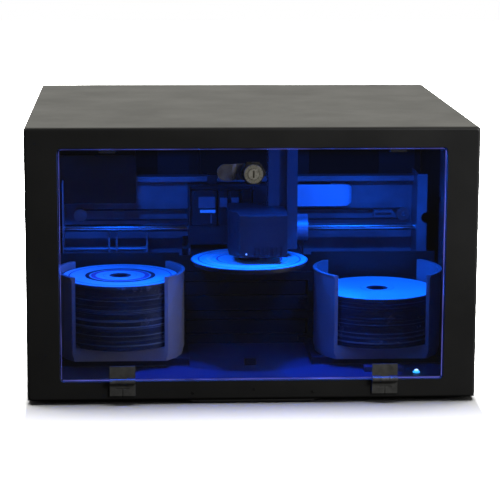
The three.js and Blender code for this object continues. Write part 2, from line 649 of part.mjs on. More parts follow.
// The printer's sheet-steel chassis with its carriage rail, side plates and small brackets
const rim = { depth: 15, lip: 5.5, gap: 0.5 };
const arch = { half: 66, top: 131 };
const flange = { reach: 9, bottom: 119, top: 204, notch: 12 };
const rodPart = { radius: 2.5, depth: 178, height: 123.4, length: 90 };
const clip = { inset: 48, width: 2, pitch: 8, front: 172, bottom: 117, top: 137 };
const tension = { inset: 32, length: 22, slot: 2.5, pin: 2, front: 202.4, room: 1.1 };
const ribs = { inset: 53, length: 12, count: 4, width: 1.4, depth: 2 };
const endCover = { overhang: 4, reach: 78, front: 172, bottom: 173.5, top: 225, wall: 2 };
const endCoverRight = chassisLeft + endCover.reach;
const rimFront = chassis.plate - rim.depth;
function printerChassis() {
  const s = body.sheet;
  const { front, plate, top } = chassis;
  const bottom = shelf.top + clearance;
  const plateBack = plate + s;
  const wall = block([chassisLeft, chassisRight], [plate, plateBack], [bottom, top]);
  const rimSpan = [endCoverRight + rim.gap, chassisRight];
  const topFlange = block(rimSpan, [rimFront, plate], [top - s, top]);
  const lip = block(rimSpan, [rimFront, rimFront + s], [top - rim.lip, top]);
  const leftSide = block([chassisLeft, chassisLeft + s], [front, plateBack], [bottom, top]);
  const rightSide = block([chassisRight - s, chassisRight], [front, plateBack], [bottom, flange.top]);
  const flangeEdge = chassisRight + flange.reach;
  const flangeHeight = [flange.bottom, flange.top];
  const rightFlange = block([chassisRight - s, flangeEdge], [front, front + s], flangeHeight);
  const rodAt = [rodPart.depth, rodPart.height];
  const rodRight = chassisLeft + rodPart.length;
  const serviceRod = rod('x', rodPart.radius, [chassisLeft, rodRight], rodAt);
  const endTop = rodPart.height + flange.notch;
  const serviceEnd = block([rodRight - s, rodRight], [front, plateBack], [bottom, endTop]);
  const clips = [0, 1].map((i) => {
    const left = chassisLeft + clip.inset + i * clip.pitch;
    return block([left, left + clip.width], [clip.front, plateBack], [clip.bottom, clip.top]);
  });
  const made = joined([
    wall, topFlange, lip, leftSide, rightSide, rightFlange, serviceRod, serviceEnd, ...clips,
    ...beltFittings(),
  ]);
  piece('printer_chassis', made.subtract(joined(chassisHoles())), finish.zinc);
}

// The openings in the chassis: over the tray, for the motor, the shaft and a cable notch
function chassisHoles() {
  const s = body.sheet;
  const { front, plate } = chassis;
  const through = [plate - overrun, plate + 2 * s];
  const tunnel = block(
    around(station.x, arch.half), [front, through[1]], [shelf.top + clearance - overrun, arch.top],
  );
  const notchAt = [chassisRight + flange.reach, guide.height + flange.notch];
  const notch = rod('y', flange.notch / 2, [front - overrun, front + 2 * s], notchAt);
  const motorHole = rod('y', 2 * pinion.shaft, through, [-beltReach, belt.height]);
  const shaftHoles = [chassisLeft, chassisRight - s].map((x) => rod(
    'x', guideFit, [x - overrun, x + s + overrun], [guide.depth, guide.height],
  ));
  return [tunnel, notch, motorHole, ...shaftHoles];
}

// The belt tensioner with its slot and pin, and the ribbed guide between the strands
function beltFittings() {
  const back = chassis.plate + body.sheet / 2;
  const inside = around(belt.height, belt.inner - tension.room);
  const armLeft = beltReach - tension.inset;
  const armRight = armLeft + tension.length;
  const arm = roundedRect([armLeft, armRight], inside, tension.slot);
  const slot = roundedRect(
    [armLeft + tension.slot, armRight - tension.slot],
    around(belt.height, tension.slot / 2), tension.slot / 2 - weld,
  );
  const cutDepth = [tension.front - overrun, tension.front + 2 * tension.slot];
  const tensioner = prism(arm, 'y', [tension.front, back]).subtract(prism(slot, 'y', cutDepth));
  const pin = rod('y', tension.pin, [tension.front, back], [beltReach, belt.height]);
  const ribsLeft = chassisLeft + ribs.inset;
  let guideBlock = block([ribsLeft, ribsLeft + ribs.length], [tension.front, back], inside);
  const step = ribs.length / ribs.count;
  for (let i = 0; i < ribs.count; i += 1) {
    const left = ribsLeft + (i + 0.5) * step - ribs.width / 2;
    guideBlock = guideBlock.subtract(block(
      [left, left + ribs.width], [tension.front - overrun, tension.front + ribs.depth],
      around(belt.height, 2 * belt.inner),
    ));
  }
  return [tensioner, pin, guideBlock];
}

// The polished shaft that the print carriage slides on
const guideBeyond = { left: 4, right: 5 };
function guideShaft() {
  const span = [chassisLeft - guideBeyond.left, chassisRight + guideBeyond.right];
  const shaft = rod('x', guide.radius, span, [guide.depth, guide.height]);
  piece('guide_shaft', shaft, finish.chrome);
}

// The black moulded cover over the printer's left end
function printerEndCover() {
  const w = endCover.wall;
  const back = chassis.plate - clearance;
  const left = chassisLeft - endCover.overhang;
  const shell = roundedRect([left, endCoverRight], [endCover.bottom, endCover.top], w);
  const inside = block(
    [left + w, endCoverRight - w], [endCover.front + w, back + overrun],
    [endCover.bottom + w, endCover.top - w],
  );
  const side = block(
    [chassisLeft - clearance, chassisLeft + body.sheet + clearance],
    [endCover.front - overrun, back + overrun], [endCover.bottom - overrun, chassis.top + clearance],
  );
  const made = prism(shell, 'y', [endCover.front, back]).subtract(inside).subtract(side);
  piece('printer_end_cover', made, finish.darkPlastic);
}

// The print carriage: a bearing block on the shaft with an open cradle in front
const carriage = {
  left: -59, right: 56, back: 199.5, mid: 176, front: 158, bottom: 131.2, top: 190.5, wall: 2,
};
const cradle = { right: 11, sill: 20, boxRight: 52, boxFront: 166, boxTop: 168 };
const sleeve = { radius: 14.2, length: 12.5 };
const cartridge = {
  black: { left: -56, right: -29 }, colour: { left: -27.5, right: 8 }, top: 188, depth: 16.5,
};
const hook = { left: -38, right: -28, thickness: 2 };
const belay = { left: -46, right: -31, bottom: 150 };
function printCarriage() {
  const c = carriage;
  const bearing = block([c.left, c.right], [c.mid, c.back], [c.bottom, c.top]);
  const sillTop = c.bottom + cradle.sill;
  const cradleBox = block([c.left, cradle.right], [c.front, c.mid + overrun], [c.bottom, sillTop]);
  const cheeks = [c.left, cradle.right - c.wall].map((x) => block(
    [x, x + c.wall], [c.front + c.wall, c.mid + overrun], [c.bottom, c.top],
  ));
  const room = block(
    [c.left + c.wall, cradle.right - c.wall], [c.front + c.wall, c.mid],
    [c.bottom + c.wall, c.top + overrun],
  );
  const lowBox = block(
    [cradle.right - overrun, cradle.boxRight], [cradle.boxFront, c.mid + overrun],
    [c.bottom, cradle.boxTop],
  );
  const at = [guide.depth, guide.height];
  const ring = rod('x', sleeve.radius, [c.right - overrun, c.right + sleeve.length], at, roundSteps);
  const bore = rod('x', guideFit, [c.left - overrun, c.right + sleeve.length + overrun], at);
  const hookSpan = [hook.left, hook.right];
  const gripBack = rimFront - clearance;
  const overBottom = chassis.top + clearance;
  const overTop = overBottom + hook.thickness;
  const grip = block(hookSpan, [gripBack - hook.thickness, gripBack], [c.top - overrun, overTop]);
  const over = block(hookSpan, [gripBack - overrun, rimFront + rim.depth / 2], [overBottom, overTop]);
  const clamp = block(
    [belay.left, belay.right], [c.back - overrun, belt.front - clearance],
    [belay.bottom, belay.bottom + pitchRadius],
  );
  const shell = joined([bearing, cradleBox, ...cheeks]).subtract(room);
  const made = joined([shell, lowBox, ring, grip, over, clamp]).subtract(bore);
  piece('print_carriage', made, finish.darkPlastic);
}

// The black and the colour ink cartridges, each with its latch tabs
const tab = { proud: 1.4, bottom: 179, height: 10, width: 9, gap: 3.5, wide: 20 };
function cartridges() {
  const c = carriage;
  const front = c.front + c.wall + clearance;
  const bottom = c.bottom + c.wall + clearance;
  const depth = [front, front + cartridge.depth - 2 * clearance - c.wall];
  const slope = tab.gap;
  const { black, colour, top } = cartridge;
  const section = outline([
    [depth[0] + slope, bottom], [depth[1] - clearance, bottom], [depth[1] - clearance, top],
    [depth[0], top], [depth[0], bottom + cradle.sill], [depth[0] + clearance, bottom + slope],
  ]);
  const shell = ({ left, right }) => prism(section, 'x', [left, right]);
  const latch = (left, width) => block(
    [left, left + width], [depth[0] - tab.proud, depth[0] + overrun],
    [tab.bottom, tab.bottom + tab.height],
  );
  const blackMid = (black.left + black.right) / 2;
  piece('ink_cartridge_black', shell(black).add(latch(blackMid - tab.wide / 2, tab.wide)), finish.ink);
  const step = tab.width + tab.gap;
  const tabs = [0, 1, 2].map((i) => latch(colour.left + i * step, tab.width));
  piece('ink_cartridge_colour', joined([shell(colour), ...tabs]), finish.ink);
}

// The belt of the print carriage, its two pulleys and its motor behind the plate
const pulley = { rim: 7, flange: 1, shaft: 2 };
const carriageMotor = { radius: 14, length: 32 };
function carriageDrive() {
  const loop = (radius) => {
    const shape = new THREE.Shape();
    shape.absarc(beltReach, belt.height, radius, -Math.PI / 2, Math.PI / 2);
    shape.absarc(-beltReach, belt.height, radius, Math.PI / 2, Math.PI * 1.5);
    return shape;
  };
  const outer = loop(belt.inner + belt.thickness);
  outer.holes.push(loop(belt.inner));
  const span = [belt.front, belt.front + belt.width];
  piece('carriage_belt', prism(outer, 'y', span, smallSteps / 2), finish.rubber);
  const hub = belt.inner - clearance;
  const face = belt.front - clearance;
  const rear = span[1] + clearance;
  const wheel = (x, bore, tail) => spun('y', [
    [bore, face - pulley.flange], [pulley.rim, face - pulley.flange], [pulley.rim, face],
    [hub, face], [hub, rear], [pulley.rim, rear], [pulley.rim, rear + pulley.flange],
    ...tail, [bore, face - pulley.flange],
  ], [x, belt.height], smallSteps);
  const motorFace = chassis.plate + body.sheet + clearance;
  const shaftEnd = motorFace + 2 * pulley.flange;
  const drive = wheel(-beltReach, 0, [
    [pulley.shaft, rear + pulley.flange], [pulley.shaft, shaftEnd], [0, shaftEnd],
  ]);
  piece('carriage_drive_pulley', drive, finish.bareSteel);
  const idlerBore = tension.pin + clearance;
  const idler = wheel(beltReach, idlerBore, [[idlerBore, rear + pulley.flange]]);
  piece('carriage_idler_pulley', idler, finish.bareSteel);
  const at = [-beltReach, belt.height];
  const can = rod('y', carriageMotor.radius, [motorFace, motorFace + carriageMotor.length], at);
  const bore = rod('y', pulley.shaft + clearance, [motorFace - overrun, shaftEnd + clearance], at);
  piece('carriage_motor', can.subtract(bore), finish.zinc);
}

// The flat ribbon cable that follows the print carriage: out, round and back
const ribbon = {
  front: 196, fromRight: 68, bottom: 165.5, width: 23.5, thickness: 0.6, tail: 22,
};
function ribbonCable() {
  const back = chassis.plate - clearance;
  const middleY = (ribbon.front + back) / 2;
  const radius = (back - ribbon.front) / 2;
  const ribbonRight = chassisRight - ribbon.fromRight;
  const turn = ribbonRight - radius;
  const strip = (r) => {
    const shape = new THREE.Shape();
    shape.moveTo(carriage.right + clearance, middleY - r);
    shape.lineTo(turn, middleY - r);
    shape.absarc(turn, middleY, r, -Math.PI / 2, Math.PI / 2);
    shape.lineTo(ribbonRight - ribbon.tail, middleY + r);
    return shape;
  };
  const outer = strip(radius).getPoints(cornerSteps);
  const inner = strip(radius - ribbon.thickness).getPoints(cornerSteps).reverse();
  const shape = new THREE.Shape([...outer, ...inner]);
  piece('ribbon_cable', prism(shape, 'z', [ribbon.bottom, ribbon.bottom + ribbon.width]), finish.ribbon);
}

// The picker's cross rail on its two uprights
const upright = { gap: 2, thickness: 2.7, front: 118, back: 154, above: 2 };
const screw = { radius: 4, depth: 148, beyond: 0.9 };
const traverseMotor = { radius: 12, length: 39.7 };
const uprightInner = bayHalf + upright.gap;
const uprightOuter = uprightInner + upright.thickness;
const screwAt = [screw.depth, railBottom + railBar.size / 2];
function pickerRail() {
  const bar = block(
    around(0, uprightOuter), [railBar.depth, railBar.depth + railBar.size], [railBottom, railTop],
  );
  const posts = [-1, 1].map((side) => block(
    sided(side, uprightInner, uprightOuter), [upright.front, upright.back],
    [floorSeat, railTop + upright.above],
  ));
  const through = [uprightInner - overrun, uprightOuter + overrun];
  const bearing = rod('x', screw.radius + clearance, through, screwAt);
  piece('picker_rail', joined([bar, ...posts]).subtract(bearing), finish.bareSteel);
}

// The screw that moves the picker sideways and the motor that turns it
function traverseDrive() {
  const tail = 2 * screw.radius;
  const motorLeft = clearance - uprightInner;
  const motorRight = motorLeft + traverseMotor.length;
  const left = motorRight + clearance;
  const made = rod('x', screw.radius, [left, uprightOuter + screw.beyond], screwAt)
    .add(rod('x', pinion.shaft, [left - tail, left + overrun], screwAt));
  piece('traverse_screw', made, finish.bareSteel);
  const can = rod('x', traverseMotor.radius, [motorLeft, motorRight], screwAt);
  const boreSpan = [motorRight - tail - clearance, motorRight + overrun];
  const bore = rod('x', pinion.shaft + clearance, boreSpan, screwAt);
  piece('traverse_motor', can.subtract(bore), finish.zinc);
}

// The trolley that slides on the cross rail and carries the column
const trolley = {
  left: 14, right: 58, wall: 4, shelfLeft: 18, shelfRight: 54, front: 98, shelfRise: 6, fit: 0.4,
};
function pickerTrolley() {
  const { fit, wall } = trolley;
  const across = [trolley.left, trolley.right];
  const shelfAcross = [trolley.shelfLeft, trolley.shelfRight];
  const bar = [railBar.depth, railBar.depth + railBar.size];
  const bottom = columnTop + clearance;
  const saddle = block(across, [bar[0] - wall, bar[1] + wall], [bottom, railTop + wall]);
  const bracket = block(
    shelfAcross, [trolley.front, bar[0] - wall + overrun], [bottom, railBottom + trolley.shelfRise],
  );
  const lug = block(
    shelfAcross, [bar[1] + wall - overrun, screw.depth + 2 * screw.radius],
    around(screwAt[1], 2 * screw.radius),
  );
  const channelWay = block(
    [trolley.left - overrun, trolley.right + overrun], [bar[0] - fit, bar[1] + fit],
    [railBottom - fit, railTop + fit],
  );
  const bore = rod('x', screw.radius + clearance, across, screwAt);
  const made = joined([saddle, bracket, lug]).subtract(channelWay).subtract(bore);
  piece('picker_trolley', made, finish.darkPlastic);
}

// The upright column: a folded channel with a rail at its right and a rack at its left
const channel = { right: 41, wall: 1.6, back: 120, bar: 10, barFront: 98, barBack: 114 };
const mast = { front: 106, back: 112 };
const liftPinion = { height: 158, shaft: 2, front: 105, back: 113, reach: 3 };
const rackLine = column.left - gear.dedendum;
function pickerColumn() {
  const { left, web, bottom } = column;
  const { right, back, barFront, barBack, wall } = channel;
  const barLeft = right - wall / 2;
  const barRight = right + channel.bar;
  const plan = outline([
    [left, web], [barLeft, web], [barLeft, barFront], [barRight, barFront], [barRight, barBack],
    [right, barBack], [right, back], [right - wall, back], [right - wall, web + wall],
    [left + wall, web + wall], [left + wall, back], [left, back],
  ]);
  const profile = prism(plan, 'z', [bottom, columnTop]);
  const toothSpan = [bottom + overrun, columnTop - overrun];
  const out = rackTeeth(liftPinion.height, toothSpan).map(([z, o]) => [rackLine - o, z]);
  const root = left + wall / 2;
  const teeth = outline([[root, out[0][1]], ...out, [root, out[out.length - 1][1]]]);
  piece('picker_column', profile.add(prism(teeth, 'y', [mast.front, mast.back])), finish.pickerPaint);
}

// The picker head: a moulded housing with the gripper's slotted nose below it and, at its
// left rear, a shoe that hooks round the column's left wall
const shoe = { right: 26, front: 107, bottom: 140, top: 176 };
const chamfer = { across: 10, along: 16 };
const neck = { right: 18.9, back: 126 };
const nose = { radius: 6.2, bore: 3.3, length: 4.2, slots: 3, slotWidth: 1, boss: 14, bossHeight: 1 };
const slotRow = { count: 7, left: 4, right: 35, bottom: 138, top: 146, depth: 1.2 };
const ridge = { drop: 3, depth: 6 };
function pickerHead() {
  const { left, right, front, bottom, top } = head;
  const back = column.web - clearance;
  const plan = outline([
    [left + chamfer.across, front], [right, front], [right, back], [neck.right, back],
    [neck.right, neck.back], [left, neck.back], [left, front + chamfer.along],
  ]);
  const shell = prism(plan, 'z', [bottom, top]);
  const brow = prism(outline([
    [front - overrun, top - ridge.drop], [front - overrun, top + overrun],
    [front + ridge.depth, top + overrun], [front, top - ridge.drop],
  ]), 'x', [left - overrun, right + overrun]);
  const at = [pinionX(), liftPinion.height];
  const pocketHalf = pitchRadius + gear.addendum + 3 * clearance;
  const pocket = block(
    [at[0] - pocketHalf, neck.right + overrun],
    [liftPinion.front - clearance, liftPinion.back + clearance], around(at[1], pocketHalf),
  );
  const bearing = rod(
    'y', liftPinion.shaft + clearance,
    [liftPinion.front - liftPinion.reach - clearance, liftPinion.back + liftPinion.reach + clearance], at,
  );
  const centre = [station.x, station.depth];
  const collet = rod('z', nose.radius, [bottom - nose.length, bottom + overrun], centre);
  const boss = rod('z', nose.boss, [bottom - nose.bossHeight, bottom + overrun], centre);
  const boreSpan = [bottom - nose.length - overrun, plunger.top + 2 * plunger.travel];
  const bore = rod('z', nose.bore, boreSpan, centre);
  const slots = Array.from({ length: nose.slots }, (_, i) => {
    const cut = new THREE.BoxGeometry(nose.radius + overrun, nose.slotWidth, nose.length);
    cut.translate((nose.radius + overrun) / 2, 0, 0).rotateZ((i * 2 * Math.PI) / nose.slots);
    return solid(cut.translate(station.x, station.depth, bottom - nose.length / 2 - nose.bossHeight));
  });
  const step = (slotRow.right - slotRow.left) / slotRow.count;
  const vents = Array.from({ length: slotRow.count }, (_, i) => block(
    [slotRow.left + i * step, slotRow.left + (i + 0.5) * step],
    [front - overrun, front + slotRow.depth], [slotRow.bottom, slotRow.top],
  ));
  const behind = channel.back + clearance;
  const hookHeight = [shoe.bottom, shoe.top];
  const hookBack = block([neck.right - overrun, shoe.right], [behind, neck.back], hookHeight);
  const hookInside = block(
    [column.left + channel.wall + clearance, shoe.right], [shoe.front, neck.back], hookHeight,
  );
  const solidPart = joined([shell.subtract(brow), boss, collet, hookBack, hookInside]);
  const hollows = joined([pocket, bearing, bore, ...slots, ...vents]);
  piece('picker_head', solidPart.subtract(hollows), finish.pickerPaint);
}

function pinionX() {
  return rackLine - pitchRadius;
}

// The pinion in the head that climbs the column's rack, and the gripper's plunger
const plunger = { radius: 3, tip: 134.2, top: 150, travel: 2.2 };
function headParts() {
  const at = [pinionX(), liftPinion.height];
  const wheel = prism(gearOutline(at, 0), 'y', [liftPinion.front, liftPinion.back]);
  const axleSpan = [liftPinion.front - liftPinion.reach, liftPinion.back + liftPinion.reach];
  const axle = rod('y', liftPinion.shaft, axleSpan, at);
  piece('lift_pinion', wheel.add(axle), finish.bareSteel);
  const tipEnd = plunger.tip + plunger.radius / 2;
  const profile = [
    [0, plunger.tip], [plunger.radius / 2, plunger.tip], [plunger.radius, tipEnd],
    [plunger.radius, plunger.top], [0, plunger.top],
  ];
  piece('gripper_plunger', spun('z', profile, [station.x, station.depth], smallSteps), finish.bareSteel);
}

// The clear door, with the hole for the lock
const lock = {
  fromTop: 25.3, hole: 7.8, barrel: 7.5, flange: 9.2, proud: 3, bore: 5.6, back: 9.8,
};
const lockHeight = windowTop - lock.fromTop;
const nut = { flats: 22, thickness: 4 };
function doorPane() {
  const shape = roundedRect(
    around(0, pane.width / 2), [paneBottom, paneBottom + pane.height], pane.corner,
  );
  shape.holes.push(new THREE.Path().absarc(0, lockHeight, lock.hole, 0, Math.PI * 2));
  piece('door_pane', prism(shape, 'y', [0, pane.thickness], roundSteps), finish.acrylic);
}

// Two butt hinges: the door leaf has the middle knuckle, the frame leaf the outer ones
const knuckle = { middle: 8.6 };
const tee = { width: 13, line: 1.2, depth: 0.7, drop: 4 };
function hinges() {
  const { y, z } = hingeAxis;
  const backFace = -clearance;
  const plate = [backFace - hinge.leaf, backFace];
  const running = hinge.barrel + clearance;
  const half = knuckle.middle / 2;
  for (const [side, name] of [[-1, 'left'], [1, 'right']]) {
    const x = station.x + side * (windowHalf - hinge.fromSide);
    const width = around(x, hinge.width / 2);
    const leafTop = z + hinge.reach;
    const doorLeaf = block(width, plate, [z + running, leafTop])
      .add(block(around(x, half), plate, [z, leafTop]))
      .add(rod('x', hinge.barrel, around(x, half), [y, z]))
      .subtract(rod('x', hinge.pin + clearance, around(x, hinge.width), [y, z]));
    piece(`hinge_${name}_door_leaf`, doorLeaf, finish.caseSteel);
    const low = z - hinge.reach;
    const outer = [
      [x - hinge.width / 2, x - half - clearance], [x + half + clearance, x + hinge.width / 2],
    ];
    const ears = outer.flatMap((span) => [
      rod('x', hinge.barrel, span, [y, z]), block(span, plate, [low, z]),
    ]);
    const teeLine = z - running - tee.drop;
    const cutDepth = [plate[0] - overrun, plate[0] + tee.depth];
    const cuts = [
      block(around(x, tee.width / 2), cutDepth, [teeLine - tee.line, teeLine]),
      block(around(x, tee.line / 2), cutDepth, [low - overrun, teeLine]),
    ];
    const frameLeaf = joined([
      block(width, plate, [low, z - running]), ...ears, rod('x', hinge.pin, width, [y, z]),
    ]);
    piece(`hinge_${name}_frame_leaf`, frameLeaf.subtract(joined(cuts)), finish.caseSteel);
  }
}

// The cam lock: body with its nut through the door, key plug and bent cam
const cam = {
  half: 8, reach: 35, heel: 8, thickness: 2.5, back: 16.2, step: 3, bendFrom: 16, bendTo: 20,
};
const plug = {
  radius: 5.3, proud: 0.5, neck: 4, back: 17.5, keyWidth: 1.6, keyHeight: 7, keyDepth: 5,
};
function camLock() {
  const at = [0, lockHeight];
  const front = -clearance - lock.proud;
  const flangeRing = rod('y', lock.flange, [front, -clearance], at, roundSteps);
  const barrel = rod('y', lock.barrel, [-clearance - overrun, lock.back], at, roundSteps);
  const hexRadius = nut.flats / Math.sqrt(3);
  const hex = outline(Array.from({ length: 6 }, (_, i) => {
    const a = (i * Math.PI) / 3;
    return [hexRadius * Math.cos(a), lockHeight + hexRadius * Math.sin(a)];
  }));
  const nutSpan = [pane.thickness + clearance, pane.thickness + clearance + nut.thickness];
  const bore = rod('y', lock.bore, [front - overrun, lock.back + overrun], at);
  const made = joined([flangeRing, barrel, prism(hex, 'y', nutSpan)]).subtract(bore);
  piece('lock_body', made, finish.chrome);
  const key = block(
    around(0, plug.keyWidth / 2), [front - plug.proud - overrun, front + plug.keyDepth],
    around(lockHeight, plug.keyHeight / 2),
  );
  const round = rod('y', plug.radius, [front - plug.proud, lock.back + clearance], at)
    .add(rod('y', plug.neck, [lock.back, plug.back], at));
  piece('lock_plug', round.subtract(key), finish.chrome);
  const b = cam.back;
  const f = b - cam.thickness;
  const bend = outline([
    [cam.heel, b], [cam.heel, f], [-cam.bendFrom, f], [-cam.bendTo, f - cam.step],
    [-cam.reach, f - cam.step], [-cam.reach, b - cam.step],
    [-cam.bendTo - clearance, b - cam.step], [-cam.bendFrom - clearance, b],
  ]);
  const face = roundedRect([-cam.reach, cam.heel], around(lockHeight, cam.half), cam.half - weld);
  const plate = prism(bend, 'z', around(lockHeight, cam.half))
    .intersect(prism(face, 'y', [0, 2 * b], smallSteps / 2))
    .subtract(rod('y', plug.neck + clearance, [0, 2 * b], at));
  piece('lock_cam', plate, finish.bareSteel);
}

// The fan: square housing with its struts, and a bladed impeller
const strut = { thickness: 3, half: 2, hub: 14 };
const blade = { thickness: 1.6, twist: 35, gap: 1.2, width: 15, from: 3 };
function coolingFan() {
  const at = [0, fanHeight];
  const back = rearFace - clearance;
  const front = back - fan.depth;
  const square = roundedRect(around(0, fan.size / 2), around(fanHeight, fan.size / 2), 2 * strut.half);
  const shell = prism(square, 'y', [front, back])
    .subtract(rod('y', fan.hole, [front - overrun, back + overrun], at, roundSteps));
  const strutSpan = [back - strut.thickness, back];
  const reach = fan.hole + overrun;
  const cross = block(around(0, reach), strutSpan, around(fanHeight, strut.half))
    .add(block(around(0, strut.half), strutSpan, around(fanHeight, reach)));
  const hubPlate = rod('y', strut.hub, strutSpan, at);
  const bearing = rod('y', fan.shaft + clearance, [strutSpan[0] - overrun, back + overrun], at);
  piece('fan_housing', joined([shell, cross, hubPlate]).subtract(bearing), finish.darkPlastic);
  const hubSpan = [front + blade.from, strutSpan[0] - clearance];
  const hub = rod('y', fan.hub, hubSpan, at);
  const shaft = rod('y', fan.shaft, [hubSpan[1] - overrun, back], at);
  const length = fan.hole - blade.gap - fan.hub + overrun;
  const blades = Array.from({ length: fan.blades }, (_, i) => {
    const plate = new THREE.BoxGeometry(length, blade.width, blade.thickness);
    plate.rotateX((blade.twist * Math.PI) / 180).translate(fan.hub - overrun + length / 2, 0, 0);
    plate.rotateY((i * 2 * Math.PI) / fan.blades);
    return solid(plate.translate(0, (hubSpan[0] + hubSpan[1]) / 2, fanHeight));
  });
  piece('fan_impeller', joined([hub, shaft, ...blades]), finish.darkPlastic);
}

// The power supply with its mains inlet, and the rocker switch beside the inlet
const pins = { width: 2, height: 5, spacing: 7, length: 10 };
function powerSupply() {
  const boxBack = rearFace - clearance;
  const face = body.depth;
  const box = block([supplyLeft, supplyRight], [supplyFront, boxBack], [floorSeat, supply.top]);
  const socket = block([socketLeft, socketRight], [boxBack - overrun, face], [socketBottom, socketTop]);
  const well = block(
    [inletLeft, inletLeft + inlet.width], [face - inlet.depth, face + overrun],
    [inlet.bottom, inlet.bottom + inlet.height],
  );
  const middleX = inletLeft + inlet.width / 2;
  const middleZ = inlet.bottom + inlet.height / 2;
  const blades = [-1, 0, 1].map((i) => block(
    around(middleX + i * pins.spacing, pins.width / 2),
    [face - inlet.depth - overrun, face - inlet.depth + pins.length],
    around(middleZ + (i ? 0 : pins.spacing / 2), pins.height / 2),
  ));
  const hole = block(
    [rockerLeft, rockerLeft + rocker.width], [face - inlet.depth, face + overrun],
    around(middleZ, rocker.height / 2),
  );
  const made = joined([box, socket]).subtract(well).subtract(hole).add(joined(blades));
  piece('power_supply', made, finish.zinc);
  const pivotY = face - rocker.wing + rocker.dip;
  const back = -rocker.crown;
  const rockerShape = outline([
    [rocker.crown + rocker.dip, -rocker.wing], [2 * rocker.dip, 0],
    [rocker.crown + rocker.dip, rocker.wing], [back, rocker.wing / 2], [back, -rocker.wing / 2],
  ]);
  const turned = new THREE.ExtrudeGeometry(rockerShape, {
    depth: rocker.width - 2 * clearance, bevelEnabled: false,
  }).applyMatrix4(bases.x).rotateX((rocker.tilt * Math.PI) / 180);
  const placed = turned.translate(rockerLeft + clearance, pivotY, middleZ);
  piece('rocker_switch', solid(placed), finish.darkPlastic);
}

// The controller board on its pillars, with its data port through the rear panel
const pillar = { radius: 2.5, inset: 7 };
const chips = { width: 24, depth: 24, height: 9, pitch: 36, count: 3, inset: 28 };
function controllerBoard() {
  const top = board.bottom + board.thickness;
  const parts = [block([boardLeft, boardRight], [boardFront, boardBack], [board.bottom, top])];
  for (const x of [boardLeft + pillar.inset, boardRight - pillar.inset]) {
    for (const y of [boardFront + pillar.inset, boardBack - 2 * pillar.inset]) {
      parts.push(rod('z', pillar.radius, [floorSeat, top - clearance], [x, y], smallSteps / 2));
    }
  }
  for (let i = 0; i < chips.count; i += 1) {
    const y = boardFront + chips.inset + i * chips.pitch;
    const x = (boardLeft + boardRight) / 2;
    const rise = [top - clearance, top + chips.height];
    parts.push(block(around(x, chips.width / 2), [y, y + chips.depth], rise));
  }
  const face = rearFace + body.sheet + clearance;
  const reach = face - boardBack + usb.width;
  const port = block(
    [usbLeft, usbLeft + usb.width], [face - reach, face],
    [usbBottom - clearance, usbBottom + usb.height],
  );
  const mouth = block(
    [usbLeft + 2 * clearance + overrun, usbLeft + usb.width - 2 * clearance - overrun],
    [face - usb.width / 2, face + overrun],
    [usbBottom + 2 * clearance + overrun, usbBottom + usb.height - 2 * clearance - overrun],
  );
  piece('controller_board', joined([...parts, port]).subtract(mouth), finish.board);
}

// The strip of blue lamps under the top, and the round status lamp on the deck
const strip = { fromSide: 40, gap: 12.5, depth: 10, thickness: 2 };
const lamp = { fromSide: 23.5, gap: 15.5, radius: 2.5, height: 3.4, collar: 1 };
function lamps() {
  const top = caseTop - body.sheet - clearance;
  const front = lipBack + strip.gap;
  const across = around(0, windowHalf - strip.fromSide);
  const bar = block(across, [front, front + strip.depth], [top - strip.thickness, top]);
  piece('led_strip', bar, finish.light);
  const z = deckTop + clearance;
  const dome = [
    [0, z], [lamp.radius + lamp.collar, z], [lamp.radius + lamp.collar, z + lamp.collar],
    [lamp.radius, z + lamp.collar], [lamp.radius * Math.SQRT1_2, z + lamp.height - lamp.collar / 2],
    [0, z + lamp.height],
  ];
  const at = [windowHalf - lamp.fromSide, lipBack + lamp.gap];
  piece('status_lamp', spun('z', dome, at, smallSteps), finish.light);
}

feet();
basePan();
topCover();
frontBezel();
pullLip();
rearPanel();
deckTray();
bulkheadPlate();
bins();
stacks();
recorders();
innerFrame();
printTray();
trayDrive();
printerChassis();
guideShaft();
printerEndCover();
printCarriage();
cartridges();
carriageDrive();
ribbonCable();
pickerRail();
traverseDrive();
pickerTrolley();
pickerColumn();
pickerHead();
headParts();
doorPane();
hinges();
camLock();
coolingFan();
powerSupply();
controllerBoard();
lamps();

export default object;
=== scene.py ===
"""Disc publisher: the looks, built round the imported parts.

Metres, +X right, +Y back, +Z up. Every piece rides on the body that carries it.
"""
import json
import math
import random

import bpy
from mathutils import Matrix, Vector

